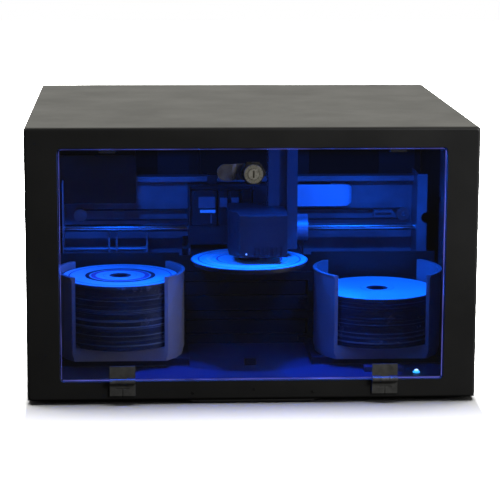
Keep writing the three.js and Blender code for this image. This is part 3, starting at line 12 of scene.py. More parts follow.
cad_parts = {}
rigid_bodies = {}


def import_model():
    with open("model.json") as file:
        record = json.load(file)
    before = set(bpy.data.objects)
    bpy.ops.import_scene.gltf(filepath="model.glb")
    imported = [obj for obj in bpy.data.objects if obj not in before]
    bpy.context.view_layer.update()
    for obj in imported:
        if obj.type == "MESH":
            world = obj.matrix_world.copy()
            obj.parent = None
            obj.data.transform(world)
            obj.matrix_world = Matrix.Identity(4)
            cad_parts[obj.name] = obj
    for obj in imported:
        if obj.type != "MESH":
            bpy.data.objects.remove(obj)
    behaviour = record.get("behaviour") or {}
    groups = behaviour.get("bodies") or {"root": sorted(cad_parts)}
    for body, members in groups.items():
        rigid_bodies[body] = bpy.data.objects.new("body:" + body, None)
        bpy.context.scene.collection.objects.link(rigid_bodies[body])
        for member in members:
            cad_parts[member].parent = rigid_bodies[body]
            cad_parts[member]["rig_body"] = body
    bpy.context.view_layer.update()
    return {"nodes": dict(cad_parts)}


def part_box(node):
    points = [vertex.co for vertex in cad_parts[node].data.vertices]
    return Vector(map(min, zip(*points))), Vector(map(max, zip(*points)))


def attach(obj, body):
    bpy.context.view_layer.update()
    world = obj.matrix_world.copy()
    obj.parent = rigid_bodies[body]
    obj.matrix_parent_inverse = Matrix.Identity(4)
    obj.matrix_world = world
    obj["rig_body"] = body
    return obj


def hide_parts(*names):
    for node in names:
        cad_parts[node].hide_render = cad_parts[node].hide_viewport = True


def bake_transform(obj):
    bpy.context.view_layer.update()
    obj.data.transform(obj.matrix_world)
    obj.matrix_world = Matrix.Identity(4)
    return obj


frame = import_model()
nodes = frame["nodes"]
scene = bpy.context.scene
scene.view_settings.view_transform = "Standard"
bpy.ops.object.select_all(action="DESELECT")


# Camera. It stands a little left of the middle and looks slightly down, as in the photograph.
# The square frame is 36 mm wide at the sensor.
eye = Vector((-0.1128, -2.11045, 0.5131))
yaw = math.radians(3.286)
pitch = math.radians(10.609)
roll = math.radians(0.236)
ahead = Vector((math.sin(yaw) * math.cos(pitch), math.cos(yaw) * math.cos(pitch), -math.sin(pitch)))
level = Vector((math.cos(yaw), -math.sin(yaw), 0))
rise = level.cross(ahead)
across = math.cos(roll) * level + math.sin(roll) * rise
upward = math.cos(roll) * rise - math.sin(roll) * level
turn = Matrix((across, upward, -ahead)).transposed()
lens = bpy.data.cameras.new("camera")
lens.lens = 143.35
lens.sensor_width = 36
camera = bpy.data.objects.new("camera", lens)
camera.matrix_world = Matrix.Translation(eye) @ turn.to_4x4()
scene.collection.objects.link(camera)
scene.camera = camera


# Room. White wherever the camera looks past the object. Other rays find a white backdrop behind,
# a dark studio in front and a soft box at the right. The floor is a white table that ends short
# of the camera, has a lamp of its own and keeps a soft shadow.
def linked(tree, kind, links=None, values=None, **settings):
    """One more node in a tree: its settings, fixed values and incoming links."""
    node = tree.nodes.new(kind)
    for key, value in settings.items():
        setattr(node, key, value)
    for key, value in (values or {}).items():
        node.inputs[key].default_value = value
    for key, socket in (links or {}).items():
        tree.links.new(socket, node.inputs[key])
    return node


def hung(name, light, here, aim):
    """Hangs a light at a place and points it at another, or straight down where aim is None."""
    place = Matrix.Translation(here)
    lamp = bpy.data.objects.new(name, light)
    lamp.matrix_world = place
    if aim:
        turned = (Vector(here) - Vector(aim)).to_track_quat("Z", "Y")
        lamp.matrix_world = place @ turned.to_matrix().to_4x4()
    scene.collection.objects.link(lamp)
    return lamp


def studio_lamp(name, width, height, power, here, aim=None):
    """A rectangular studio lamp."""
    light = bpy.data.lights.new(name, "AREA")
    light.shape = "RECTANGLE"
    light.size = width
    light.size_y = height
    light.energy = power
    return hung(name, light, here, aim)


def light_set(name, pieces, passed_over=False):
    """The only pieces that a lamp lights, or the only ones that it passes over."""
    chosen = bpy.data.collections.new(name)
    for piece in pieces:
        chosen.objects.link(piece)
    if passed_over:
        for member in chosen.collection_objects:
            member.light_linking.link_state = "EXCLUDE"
    return chosen


room = bpy.data.worlds.new("room")
room.use_nodes = True
tree = room.node_tree
rays = linked(tree, "ShaderNodeLightPath")
place = linked(tree, "ShaderNodeTexCoord")
parts = linked(tree, "ShaderNodeSeparateXYZ", {0: place.outputs["Generated"]})
depth = linked(tree, "ShaderNodeMapRange", {"Value": parts.outputs["Y"]},
               {"From Min": -0.45, "From Max": 0.65, "To Min": 0.06, "To Max": 0.86},
               interpolation_type="SMOOTHSTEP")
# Clear plastic lets in only a little of the room's light, so the inside of the case stays dark.
pane_stops = 0.85
shut_out = linked(tree, "ShaderNodeMath", {0: rays.outputs["Is Transmission Ray"]}, {1: pane_stops},
                  operation="MULTIPLY")
let_in = linked(tree, "ShaderNodeMath", {1: shut_out.outputs[0]}, {0: 1.0}, operation="SUBTRACT")
inside = linked(tree, "ShaderNodeMath", {0: depth.outputs[0], 1: let_in.outputs[0]}, operation="MULTIPLY")
shown = linked(tree, "ShaderNodeMix", {0: rays.outputs["Is Camera Ray"], 2: inside.outputs[0]}, {3: 1.0})
tree.links.new(shown.outputs[0], tree.nodes["Background"].inputs["Strength"])
tint = linked(tree, "ShaderNodeMix", {0: rays.outputs["Is Camera Ray"]},
              {6: (1.0, 0.985, 0.90, 1), 7: (1.0, 1.0, 1.0, 1)}, data_type="RGBA")
tree.links.new(tint.outputs[2], tree.nodes["Background"].inputs["Color"])
# Shadow rays would pass the clear door unweakened, so only bounced rays find the room's light.
room.cycles.sampling_method = "NONE"
scene.world = room

bpy.ops.mesh.primitive_plane_add(size=1.0, location=(0, 2.2, 0))
floor = bpy.context.object
floor.name = "floor"
floor.scale = (9.0, 5.8, 1.0)
bpy.ops.object.transform_apply(location=True, rotation=False, scale=True)

# The table gets whiter away from the case, to meet the white background, and whiter at the case's
# sides, which is painted light over its shadow there. It is white only in direct sight, and
# through the door only in front of the case's back, so it lights no piece.
paper = bpy.data.materials.new("floor_white")
paper.use_nodes = True
tree = paper.node_tree
tree.nodes.remove(tree.nodes["Principled BSDF"])
rays = linked(tree, "ShaderNodeLightPath")
seen = linked(tree, "ShaderNodeMath",
              {0: rays.outputs["Is Camera Ray"], 1: rays.outputs["Is Transmission Ray"]}, operation="MAXIMUM")
bounces = linked(tree, "ShaderNodeMath", {0: rays.outputs["Diffuse Depth"], 1: rays.outputs["Glossy Depth"]})
direct = linked(tree, "ShaderNodeMath", {0: seen.outputs[0], 1: bounces.outputs[0]},
                operation="SUBTRACT", use_clamp=True)
place = linked(tree, "ShaderNodeTexCoord")
from_middle = linked(tree, "ShaderNodeVectorMath", {0: place.outputs["Object"]}, operation="LENGTH")
far = linked(tree, "ShaderNodeMapRange", {"Value": from_middle.outputs["Value"]},
             {"From Min": 0.40, "From Max": 0.90, "To Min": 0.20, "To Max": 3.4})
spot = linked(tree, "ShaderNodeSeparateXYZ", {0: place.outputs["Object"]})
# Painted light: the floor whitens at the case's sides, over its shadow.
sideways = linked(tree, "ShaderNodeMath", {0: spot.outputs["X"]}, operation="ABSOLUTE")
painted_light_at_sides = linked(tree, "ShaderNodeMapRange", {"Value": sideways.outputs[0]},
                {"From Min": 0.222, "From Max": 0.27, "To Min": 0.0, "To Max": 3.0})
whiteness = linked(tree, "ShaderNodeMath", {0: far.outputs[0], 1: painted_light_at_sides.outputs[0]}, operation="ADD")
white = linked(tree, "ShaderNodeCombineColor", {channel: whiteness.outputs[0] for channel in range(3)})
in_front = linked(tree, "ShaderNodeMapRange", {"Value": spot.outputs["Y"]},
                  {"From Min": 0.18, "From Max": 0.30, "To Min": 1.0, "To Max": 0.0})
open_view = linked(tree, "ShaderNodeMath", {0: rays.outputs["Is Camera Ray"], 1: in_front.outputs[0]},
                   operation="MAXIMUM")
plain = linked(tree, "ShaderNodeMath", {0: direct.outputs[0], 1: open_view.outputs[0]}, operation="MULTIPLY")
dim = linked(tree, "ShaderNodeMix", {0: plain.outputs[0], 7: white.outputs[0]},
             {6: (0.006, 0.006, 0.006, 1)}, data_type="RGBA")
matt = linked(tree, "ShaderNodeBsdfDiffuse", {"Color": dim.outputs[2]})
tree.links.new(matt.outputs[0], tree.nodes["Material Output"].inputs["Surface"])
floor.data.materials.append(paper)

table_lamp = studio_lamp("table_light", 1.6, 0.44, 180.0, (0, -0.02, 1.6))
table_lamp.light_linking.receiver_collection = light_set("lit_by_table_light", [floor])
soft_box = studio_lamp("soft_box", 0.7, 0.9, 8.0, (1.85, -0.85, 0.30), (0, 0, 0.13))


# Case. Folded sheet steel, powder coated black: a floor tray, one sheet over the top and both
# sides, a back panel, a front panel with a window, and a finger lip under it.
def new_group(name, inputs, outputs):
    """A node group with named inputs and outputs."""
    group = bpy.data.node_groups.new(name, "ShaderNodeTree")
    for socket, kind in inputs.items():
        group.interface.new_socket(socket, in_out="INPUT", socket_type=kind)
    for socket, kind in outputs.items():
        group.interface.new_socket(socket, in_out="OUTPUT", socket_type=kind)
    return group, group.nodes.new("NodeGroupInput"), group.nodes.new("NodeGroupOutput")


number, paint, vector = "NodeSocketFloat", "NodeSocketColor", "NodeSocketVector"
grain, given, result = new_group(
    "grain",
    {"Colour": paint, "Shade": paint, "Patch": number, "Grain": number, "Depth": number,
     "Smooth": number, "Rough": number, "Stretch": vector, "Dust": number},
    {"Colour": paint, "Roughness": number, "Normal": vector},
)
place = linked(grain, "ShaderNodeTexCoord")
drawn = linked(grain, "ShaderNodeVectorMath", {0: place.outputs["Object"], 1: given.outputs["Stretch"]},
               operation="MULTIPLY")
patches = linked(grain, "ShaderNodeTexNoise", {"Vector": drawn.outputs[0], "Scale": given.outputs["Patch"]},
                 {"Detail": 4.0, "Roughness": 0.6})
spread = linked(grain, "ShaderNodeMapRange", {"Value": patches.outputs["Fac"]},
                {"From Min": 0.32, "From Max": 0.68})
tone = linked(grain, "ShaderNodeMix",
              {0: spread.outputs[0], 6: given.outputs["Colour"], 7: given.outputs["Shade"]}, data_type="RGBA")
speckle = linked(grain, "ShaderNodeTexNoise", {"Vector": drawn.outputs[0], "Scale": given.outputs["Grain"]},
                 {"Detail": 2.0, "Roughness": 0.5})
relief = linked(grain, "ShaderNodeBump",
                {"Height": speckle.outputs["Fac"], "Distance": given.outputs["Depth"]}, {"Strength": 1.0})
gloss = linked(grain, "ShaderNodeMapRange", {"Value": spread.outputs[0], "To Min": given.outputs["Smooth"],
                                             "To Max": given.outputs["Rough"]})
upright = linked(grain, "ShaderNodeSeparateXYZ", {0: place.outputs["Normal"]})
lying = linked(grain, "ShaderNodeMapRange", {"Value": upright.outputs["Z"]},
               {"From Min": 0.6, "From Max": 1.0})
motes = linked(grain, "ShaderNodeTexNoise", {"Vector": place.outputs["Object"]},
               {"Scale": 620.0, "Detail": 3.0, "Roughness": 0.7})
fleck = linked(grain, "ShaderNodeMapRange", {"Value": motes.outputs["Fac"]},
               {"From Min": 0.52, "From Max": 0.75})
settled = linked(grain, "ShaderNodeMath", {0: lying.outputs[0], 1: fleck.outputs[0]}, operation="MULTIPLY")
amount = linked(grain, "ShaderNodeMath", {0: settled.outputs[0], 1: given.outputs["Dust"]},
                operation="MULTIPLY")
dusty = linked(grain, "ShaderNodeMix", {0: amount.outputs[0], 6: tone.outputs[2]},
               {7: (0.35, 0.34, 0.33, 1)}, data_type="RGBA")
grain.links.new(dusty.outputs[2], result.inputs["Colour"])
grain.links.new(gloss.outputs[0], result.inputs["Roughness"])
grain.links.new(relief.outputs[0], result.inputs["Normal"])


def finish(name, colour, shade, patch, speck, depth, smooth, rough, metal=0.0,
           stretch=(1, 1, 1), dust=0.0, sockets=None):
    """A finish: the grain group with its own values, feeding a Principled shader."""
    made = bpy.data.materials.new(name)
    made.use_nodes = True
    tree = made.node_tree
    shader = tree.nodes["Principled BSDF"]
    shader.inputs["Metallic"].default_value = metal
    for socket, value in (sockets or {}).items():
        shader.inputs[socket].default_value = value
    cover = tree.nodes.new("ShaderNodeGroup")
    cover.name = "cover"
    cover.node_tree = grain
    values = {"Colour": (*colour, 1), "Shade": (*shade, 1), "Patch": patch, "Grain": speck, "Depth": depth,
              "Smooth": smooth, "Rough": rough, "Stretch": stretch, "Dust": dust}
    for socket, value in values.items():
        cover.inputs[socket].default_value = value
    tree.links.new(cover.outputs["Colour"], shader.inputs["Base Color"])
    tree.links.new(cover.outputs["Roughness"], shader.inputs["Roughness"])
    tree.links.new(cover.outputs["Normal"], shader.inputs["Normal"])
    return made


def only(made):
    """Selects one piece alone."""
    bpy.ops.object.select_all(action="DESELECT")
    made.select_set(True)
    bpy.context.view_layer.objects.active = made


def applied(made, kind, **settings):
    """Adds one modifier to a piece and applies it."""
    only(made)
    step = made.modifiers.new(kind.lower(), kind)
    for key, value in settings.items():
        setattr(step, key, value)
    bpy.ops.object.modifier_apply(modifier=step.name)


def softened(made, width):
    """Rounds the sharp edges of a piece and shades it with its flat faces kept flat."""
    if width:
        applied(made, "BEVEL", width=width, segments=2, limit_method="ANGLE", angle_limit=math.radians(35))
    only(made)
    bpy.ops.object.shade_smooth_by_angle(angle=math.radians(32))
    applied(made, "WEIGHTED_NORMAL", weight=100, keep_sharp=True)


def carried(made, body, material, covers=()):
    """Gives a piece its finish and body, and the solids that it stands for."""
    made.data.materials.clear()
    made.data.materials.append(material)
    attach(made, body)
    if covers:
        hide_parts(*covers)


def one_skin(name, merge_faces=True):
    """A copy of the part of that name with its loose triangles merged, left in edit mode."""
    made = bpy.data.objects.new(name + "_finished", nodes[name].data.copy())
    scene.collection.objects.link(made)
    only(made)
    bpy.ops.mesh.customdata_custom_splitnormals_clear()
    bpy.ops.object.mode_set(mode="EDIT")
    bpy.ops.mesh.select_all(action="SELECT")
    bpy.ops.mesh.remove_doubles(threshold=0.000005)
    if merge_faces:
        bpy.ops.mesh.dissolve_limited(angle_limit=math.radians(0.5))
    return made


def eased(name, material, width=0.0003, merge_faces=True):
    """The part of that name as one skin, with its corners rounded as a real edge is."""
    made = one_skin(name, merge_faces)
    bpy.ops.object.mode_set(mode="OBJECT")
    softened(made, width)
    source = nodes[name]
    carried(made, source["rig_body"], material, [name])


coat = finish("case_coat", (0.0135, 0.0135, 0.0135), (0.0165, 0.0163, 0.016), 14.0, 1500.0, 0.00003,
              0.40, 0.47, dust=0.02)
for name in ("base_pan", "top_cover", "rear_panel", "front_bezel", "pull_lip"):
    eased(name, coat, width=0.0004)


# Dust filters and seals. Thin pads of black foam behind the air slots, over the fan's inlet and
# down the back panel's two upright edges, glued inside. They keep dust and daylight out.
foam = finish("filter_foam", (0.006, 0.006, 0.006), (0.02, 0.02, 0.02), 900.0, 2200.0, 0.0003, 0.85, 1.0)
slots_near, slots_far = 0.089, 0.171
slots_low, slots_high = 0.164, 0.216
seal_low, seal_high = 0.03, 0.2725
seal_width = 0.007
pad_thick, pad_edge = 0.0015, 0.00045
glue_gap = 0.0004
fan_margin = 0.001
wall_thick = 0.0016


def block_piece(name, low, high, edge, material, body):
    """A block between two corners, with its edges rounded."""
    low, high = Vector(low), Vector(high)
    bpy.ops.mesh.primitive_cube_add(size=1, location=(low + high) / 2)
    made = bpy.context.object
    made.name = name
    made.scale = high - low
    bpy.ops.object.transform_apply(location=True, rotation=False, scale=True)
    softened(made, edge)
    carried(made, body, material)


low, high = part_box("fan_housing")
pad_back = high.y - glue_gap
pad_front = pad_back - pad_thick
for side, left in (("left", -slots_far), ("right", slots_near)):
    block_piece(f"slot_filter_{side}", (left, pad_front, slots_low),
                (left + slots_far - slots_near, pad_back, slots_high), pad_edge, foam, "case")
wall_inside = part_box("top_cover")[1].x - wall_thick
for side, left in (("left", -wall_inside), ("right", wall_inside - seal_width)):
    block_piece(f"corner_seal_{side}", (left, pad_front, seal_low),
                (left + seal_width, pad_back, seal_high), pad_edge, foam, "case")
block_piece("fan_filter", (low.x + fan_margin, low.y - glue_gap - pad_thick, low.z + fan_margin),
            (high.x - fan_margin, low.y - glue_gap, high.z - fan_margin), pad_edge, foam, "case")


# Front screws. Three small black steel screws with low domed heads and a round recess hold the
# front panel to the floor tray.
front_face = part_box("front_bezel")[0].y
thick_share, edge_share = 0.7, 0.06
slope_share, dome_share = 0.35, 0.18
wall_share, recess_share = 0.3, 0.30


def domed_screw(name, x, z, y, radius, material, body="case"):
    """A domed screw head that stands on a face looking forwards, its sizes shares of its radius."""
    bpy.ops.mesh.primitive_cylinder_add(vertices=24, radius=radius, depth=radius * thick_share,
                                        location=(x, y, z), rotation=(math.radians(90), 0, 0))
    head = bpy.context.object
    head.name = name
    bpy.ops.object.transform_apply(location=True, rotation=True, scale=True)
    bpy.ops.object.mode_set(mode="EDIT")
    bpy.ops.mesh.select_all(action="DESELECT")
    bpy.ops.object.mode_set(mode="OBJECT")
    for face in head.data.polygons:
        face.select = face.normal.y < -0.9
    bpy.ops.object.mode_set(mode="EDIT")
    bpy.ops.mesh.inset(thickness=radius * slope_share)
    bpy.ops.transform.translate(value=(0, -radius * dome_share, 0))
    bpy.ops.mesh.inset(thickness=radius * wall_share)
    bpy.ops.transform.translate(value=(0, radius * recess_share, 0))
    bpy.ops.object.mode_set(mode="OBJECT")
    softened(head, radius * edge_share)
    carried(head, body, material)


black_screw = finish("black_screw", (0.01, 0.01, 0.01), (0.02, 0.02, 0.02), 90.0, 1500.0, 0.00002,
                     0.25, 0.4, metal=0.5)
head_radius, head_sunk = 0.0013, 0.00035
for side, x, z in (("left", -0.0596, 0.0106), ("middle", 0.0015, 0.0138), ("right", 0.0596, 0.0106)):
    domed_screw("front_screw_" + side, x, z, front_face + head_sunk, head_radius, black_screw)


# Feet. Four turned feet of black rubber, pressed into the floor of the case near its corners, so
# that it doesn't slide.
rubber = finish("foot_rubber", (0.008, 0.008, 0.008), (0.014, 0.014, 0.014), 60.0, 1800.0, 0.0001, 0.65, 0.85)
for row in ("front", "rear"):
    for side in ("left", "right"):
        eased(f"foot_{row}_{side}", rubber, width=0.0005)


# Door. One clear acrylic sheet with polished edges. Their blue glow is painted light, an emission
# that stands for the blue light the edges catch. It hangs on two hinges at its foot and is held
# shut by the lock.
def above(tree, value, limit):
    """A mask that is 1 where a value is above a limit."""
    return linked(tree, "ShaderNodeMath", {0: value}, {1: limit}, operation="GREATER_THAN").outputs[0]



glass = bpy.data.materials.new("door_acrylic")
glass.use_nodes = True
tree = glass.node_tree
shader = tree.nodes["Principled BSDF"]
shader.inputs["Base Color"].default_value = (0.97, 0.97, 0.98, 1)
shader.inputs["Transmission Weight"].default_value = 1.0
shader.inputs["IOR"].default_value = 1.49
place = linked(tree, "ShaderNodeTexCoord")
hazes = linked(tree, "ShaderNodeTexNoise", {"Vector": place.outputs["Object"]}, {"Scale": 9.0, "Detail": 3.0})
haze = linked(tree, "ShaderNodeMapRange", {"Value": hazes.outputs["Fac"]},
              {"From Min": 0.35, "From Max": 0.7, "To Min": 0.0, "To Max": 0.012})
tree.links.new(haze.outputs[0], shader.inputs["Roughness"])
low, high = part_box("door_pane")
middle = (low + high) / 2
half = (high - low) / 2
# Painted glow in streaks along the pane's edges: emission standing for caught blue light.
painted_glow_width = 0.0007
centred = linked(tree, "ShaderNodeVectorMath", {0: place.outputs["Object"]}, {1: tuple(middle)},
                 operation="SUBTRACT")
outward = linked(tree, "ShaderNodeVectorMath", {0: centred.outputs[0]}, operation="ABSOLUTE")
reach = linked(tree, "ShaderNodeSeparateXYZ", {0: outward.outputs[0]})
rim_x = above(tree, reach.outputs["X"], half.x - painted_glow_width)
rim_z = above(tree, reach.outputs["Z"], half.z - painted_glow_width)
rim = linked(tree, "ShaderNodeMath", {0: rim_x, 1: rim_z}, operation="MAXIMUM")
streaks = linked(tree, "ShaderNodeTexNoise", {"Vector": place.outputs["Object"]},
                 {"Scale": 25.0, "Detail": 2.0})
painted_glow_share = linked(tree, "ShaderNodeMapRange", {"Value": streaks.outputs["Fac"]},
             {"From Min": 0.35, "From Max": 0.65, "To Min": 0.25, "To Max": 1.0})
painted_edge_glow = linked(tree, "ShaderNodeMix", {0: rim.outputs[0]},
               {6: (0, 0, 0, 1), 7: (0.045, 0.045, 0.20, 1)}, data_type="RGBA")
painted_glow_streaked = linked(tree, "ShaderNodeMix", {0: painted_glow_share.outputs[0], 7: painted_edge_glow.outputs[2]}, {6: (0, 0, 0, 1)},
               data_type="RGBA")
tree.links.new(painted_glow_streaked.outputs[2], shader.inputs["Emission Color"])
shader.inputs["Emission Strength"].default_value = 1.0
rays = linked(tree, "ShaderNodeLightPath")
clear = linked(tree, "ShaderNodeBsdfTransparent")
mix = linked(tree, "ShaderNodeMixShader", {0: rays.outputs["Is Shadow Ray"], 1: shader.outputs[0],
                                           2: clear.outputs[0]})
tree.links.new(mix.outputs[0], tree.nodes["Material Output"].inputs["Surface"])
eased("door_pane", glass, width=0.0003)


# Hinges. Two small butt hinges of dark plated steel, one leaf on the door and one on the front
# panel, with rolled knuckles round a pin.
hinge_steel = finish("hinge_steel", (0.085, 0.085, 0.082), (0.14, 0.14, 0.135), 120.0, 1500.0, 0.00004,
                     0.30, 0.45, metal=0.35)
for side in ("left", "right"):
    eased(f"hinge_{side}_door_leaf", hinge_steel, width=0.0002)
    eased(f"hinge_{side}_frame_leaf", hinge_steel, width=0.0002)


# Lock. A plated zinc cam lock through the door: a round front with a key slot, a hexagonal nut
# behind the pane and a flat steel cam.
def below(tree, value, limit):
    """A mask that is 1 where a value is below a limit."""
    return linked(tree, "ShaderNodeMath", {0: value}, {1: limit}, operation="LESS_THAN").outputs[0]


def place_on(tree):
    """Where a point of the piece is, as its X, Y and Z."""
    place = linked(tree, "ShaderNodeTexCoord")
    return linked(tree, "ShaderNodeSeparateXYZ", {0: place.outputs["Object"]}).outputs


def laid_over(made, mask, colour):
    """Lays one more colour over a finish where the mask is 1."""
    tree = made.node_tree
    mixed = linked(tree, "ShaderNodeMix", {0: mask, 6: tree.nodes["cover"].outputs["Colour"]}, {7: colour},
                   data_type="RGBA")
    tree.links.new(mixed.outputs[2], tree.nodes["Principled BSDF"].inputs["Base Color"])


pane_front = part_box("door_pane")[0].y
lock_zinc = finish("lock_zinc", (0.46, 0.44, 0.38), (0.60, 0.58, 0.52), 260.0, 1500.0, 0.00003,
                   0.24, 0.38, metal=0.55)
# Dark from the pane back, bright zinc in front of it: the dark is partly the nut's own finish and partly
# painted shade behind the door.
nut = finish("lock_nut", (0.030, 0.029, 0.024), (0.06, 0.058, 0.05), 260.0, 1500.0, 0.00003,
             0.2, 0.32, metal=0.6)
bright_depth = 0.002
before_nut = below(nut.node_tree, place_on(nut.node_tree)["Y"], pane_front + bright_depth)
laid_over(nut, before_nut, (0.40, 0.385, 0.33, 1))
eased("lock_body", nut, width=0.0003)
eased("lock_plug", lock_zinc, width=0.0001)
cam_steel = finish("cam_steel", (0.13, 0.125, 0.105), (0.20, 0.19, 0.16), 120.0, 1500.0, 0.00003,
                   0.35, 0.5, metal=0.7)
eased("lock_cam", cam_steel, width=0.0002)


# Deck. A moulded tray, painted grey, that covers the floor of the work bay. It has a dark seat
# for each bin and a sensor block, and a small black disc sensor stands on it in the middle. The
# dark of each bin seat is partly its own colour and partly painted shade under the bin.
def both(tree, first, second):
    """A mask that is 1 where two others are."""
    return linked(tree, "ShaderNodeMath", {0: first, 1: second}, operation="MULTIPLY").outputs[0]


def part_place(x, depth, height):
    """A place in metres from its place in millimetres, its depth counted from the door's front."""
    return Vector((x / 1000, pane_front + depth / 1000, height / 1000))


deck_paint = finish("deck_paint", (0.085, 0.085, 0.10), (0.105, 0.105, 0.12), 18.0, 900.0, 0.00004,
                    0.42, 0.55)
tree = deck_paint.node_tree
# Dark on the deck above this height and depth, the bin seat pads: partly their own colour, partly painted
# shade under the bins.
seats_above, seats_behind = 0.0248, 0.044
spot = place_on(tree)
seats = both(tree, above(tree, spot["Z"], seats_above), above(tree, spot["Y"], pane_front + seats_behind))
laid_over(deck_paint, seats, (0.010, 0.010, 0.012, 1))
eased("deck", deck_paint, width=0.0004)
sensor_black = finish("sensor_black", (0.004, 0.004, 0.004), (0.008, 0.008, 0.008), 90.0, 1500.0, 0.00003,
                      0.3, 0.45)
block_piece("disc_sensor", part_place(-5, 60.8, 23.6), part_place(7, 68.8, 31.0), 0.0004, sensor_black,
            "case")


# Bins. Moulded grey plastic with thin round walls, open at the front, each with a round base for
# the discs. They stand loose on their seats and are lifted out by hand.
bin_plastic = finish("bin_plastic", (0.20, 0.20, 0.215), (0.235, 0.235, 0.25), 14.0, 1300.0, 0.00003,
                     0.36, 0.46)
for name in ("left_bin", "right_bin"):
    eased(name, bin_plastic, width=0.0004)


# Discs. Polycarbonate, 120 mm across and 1.2 mm thick, piled loosely, the top one of each pile
# with a raised stacking ring. That one and the one on the printer's tray show their prints.
hole_radius, disc_radius, disc_thick = 0.0075, 0.06, 0.0012
ease_across, hole_ease, rim_ease = 0.0003, 0.0001, 0.0002
stack_ring = [(0.0165, disc_thick), (0.0168, 0.0014), (0.0176, 0.0014), (0.0179, disc_thick)]


def disc(name, raised_ring, share):
    """One disc at the origin, turned from its profile, hole to rim and back."""
    profile = [(hole_radius, 0.0), (hole_radius, disc_thick - hole_ease),
               (hole_radius + ease_across, disc_thick)]
    profile += raised_ring
    profile += [(disc_radius - ease_across, disc_thick), (disc_radius, disc_thick - rim_ease),
                (disc_radius, rim_ease), (disc_radius - ease_across, 0.0)]
    mesh = bpy.data.meshes.new(name)
    edges = [(i, (i + 1) % len(profile)) for i in range(len(profile))]
    mesh.from_pydata([(radius, 0, z) for radius, z in profile], edges, [])
    made = bpy.data.objects.new(name, mesh)
    scene.collection.objects.link(made)
    only(made)
    bpy.ops.object.mode_set(mode="EDIT")
    bpy.ops.mesh.select_all(action="SELECT")
    bpy.ops.mesh.spin(steps=72, angle=math.tau, center=(0, 0, 0), axis=(0, 0, 1))
    bpy.ops.mesh.select_all(action="SELECT")
    bpy.ops.mesh.remove_doubles(threshold=0.000005)
    bpy.ops.mesh.normals_make_consistent(inside=False)
    bpy.ops.object.mode_set(mode="OBJECT")
    made.scale = (share, share, 1)
    bpy.ops.object.transform_apply(location=False, rotation=False, scale=True)
    bpy.ops.object.shade_smooth_by_angle(angle=math.radians(25))
    return made


def copied(model, name, place):
    """A copy of a disc, laid at a place."""
    made = bpy.data.objects.new(name, model.data.copy())
    scene.collection.objects.link(made)
    made.data.transform(Matrix.Translation(place))
    return made


hub_rings = (((0.012, 0.02, 0.05, 1), 0.0, 0.0112), ((0.30, 0.55, 0.62, 1), 0.0168, 0.0176),
             ((0.2, 0.3, 0.4, 1), 0.0589, 0.07))


def disc_face(name, centre, field, field_end, rings):
    """Printed face of a disc: a field of colour with rings, each its colour and two radii."""
    made = finish(name, field, field_end, 11.0, 1800.0, 0.00001, 0.30, 0.42)
    tree = made.node_tree
    place = linked(tree, "ShaderNodeTexCoord")
    centred = linked(tree, "ShaderNodeMapping", {"Vector": place.outputs["Object"]},
                     {"Location": (-centre.x, -centre.y, 0), "Scale": (1, 1, 0)})
    hub = linked(tree, "ShaderNodeVectorMath", {0: centred.outputs[0]}, operation="LENGTH")
    away = hub.outputs["Value"]
    colour = tree.nodes["cover"].outputs["Colour"]
    for tint, inner, outer in hub_rings + rings:
        ring = both(tree, above(tree, away, inner), below(tree, away, outer))
        colour = linked(tree, "ShaderNodeMix", {0: ring, 6: colour}, {7: tint}, data_type="RGBA").outputs[2]
    facing = linked(tree, "ShaderNodeSeparateXYZ", {0: place.outputs["Normal"]})
    standing = below(tree, facing.outputs["Z"], 0.5)
    side = linked(tree, "ShaderNodeMix", {0: standing, 6: colour}, {7: (0.03, 0.045, 0.07, 1)},
                  data_type="RGBA")
    tree.links.new(side.outputs[2], tree.nodes["Principled BSDF"].inputs["Base Color"])
    return made


dark_print, pink_print = (0.02, 0.010, 0.04, 1), (0.34, 0.14, 0.42, 1)
pale_print, blue_print = (0.9, 0.95, 1.0, 1), (0.05, 0.20, 0.45, 1)
faces = {
    "left": ((0.36, 0.80, 0.86), (0.55, 0.92, 0.95),
             ((blue_print, 0.05141, 0.053), (dark_print, 0.03168, 0.036), (pink_print, 0.0252, 0.030))),
    "right": ((0.42, 0.92, 0.97), (0.55, 0.98, 1.0), ()),
    "tray": ((0.26, 0.86, 0.9), (0.38, 0.95, 0.97),
             ((blue_print, 0.05141, 0.053), (pale_print, 0.0396, 0.044), (pink_print, 0.0323, 0.034))),
}
pile_edge = finish("disc_rim", (0.012, 0.019, 0.032), (0.024, 0.036, 0.056), 40.0, 1500.0, 0.00001,
                   0.16, 0.30)
tree = pile_edge.node_tree
place = linked(tree, "ShaderNodeTexCoord")
layers = linked(tree, "ShaderNodeMapping", {"Vector": place.outputs["Object"]}, {"Scale": (1.2, 1.2, 520.0)})
bands = linked(tree, "ShaderNodeTexNoise", {"Vector": layers.outputs[0]},
               {"Scale": 1.0, "Detail": 1.0, "Roughness": 0.6})
strong = linked(tree, "ShaderNodeMapRange", {"Value": bands.outputs["Fac"]},
                {"From Min": 0.56, "From Max": 0.70})
laid_over(pile_edge, strong.outputs[0], (0.12, 0.17, 0.22, 1))

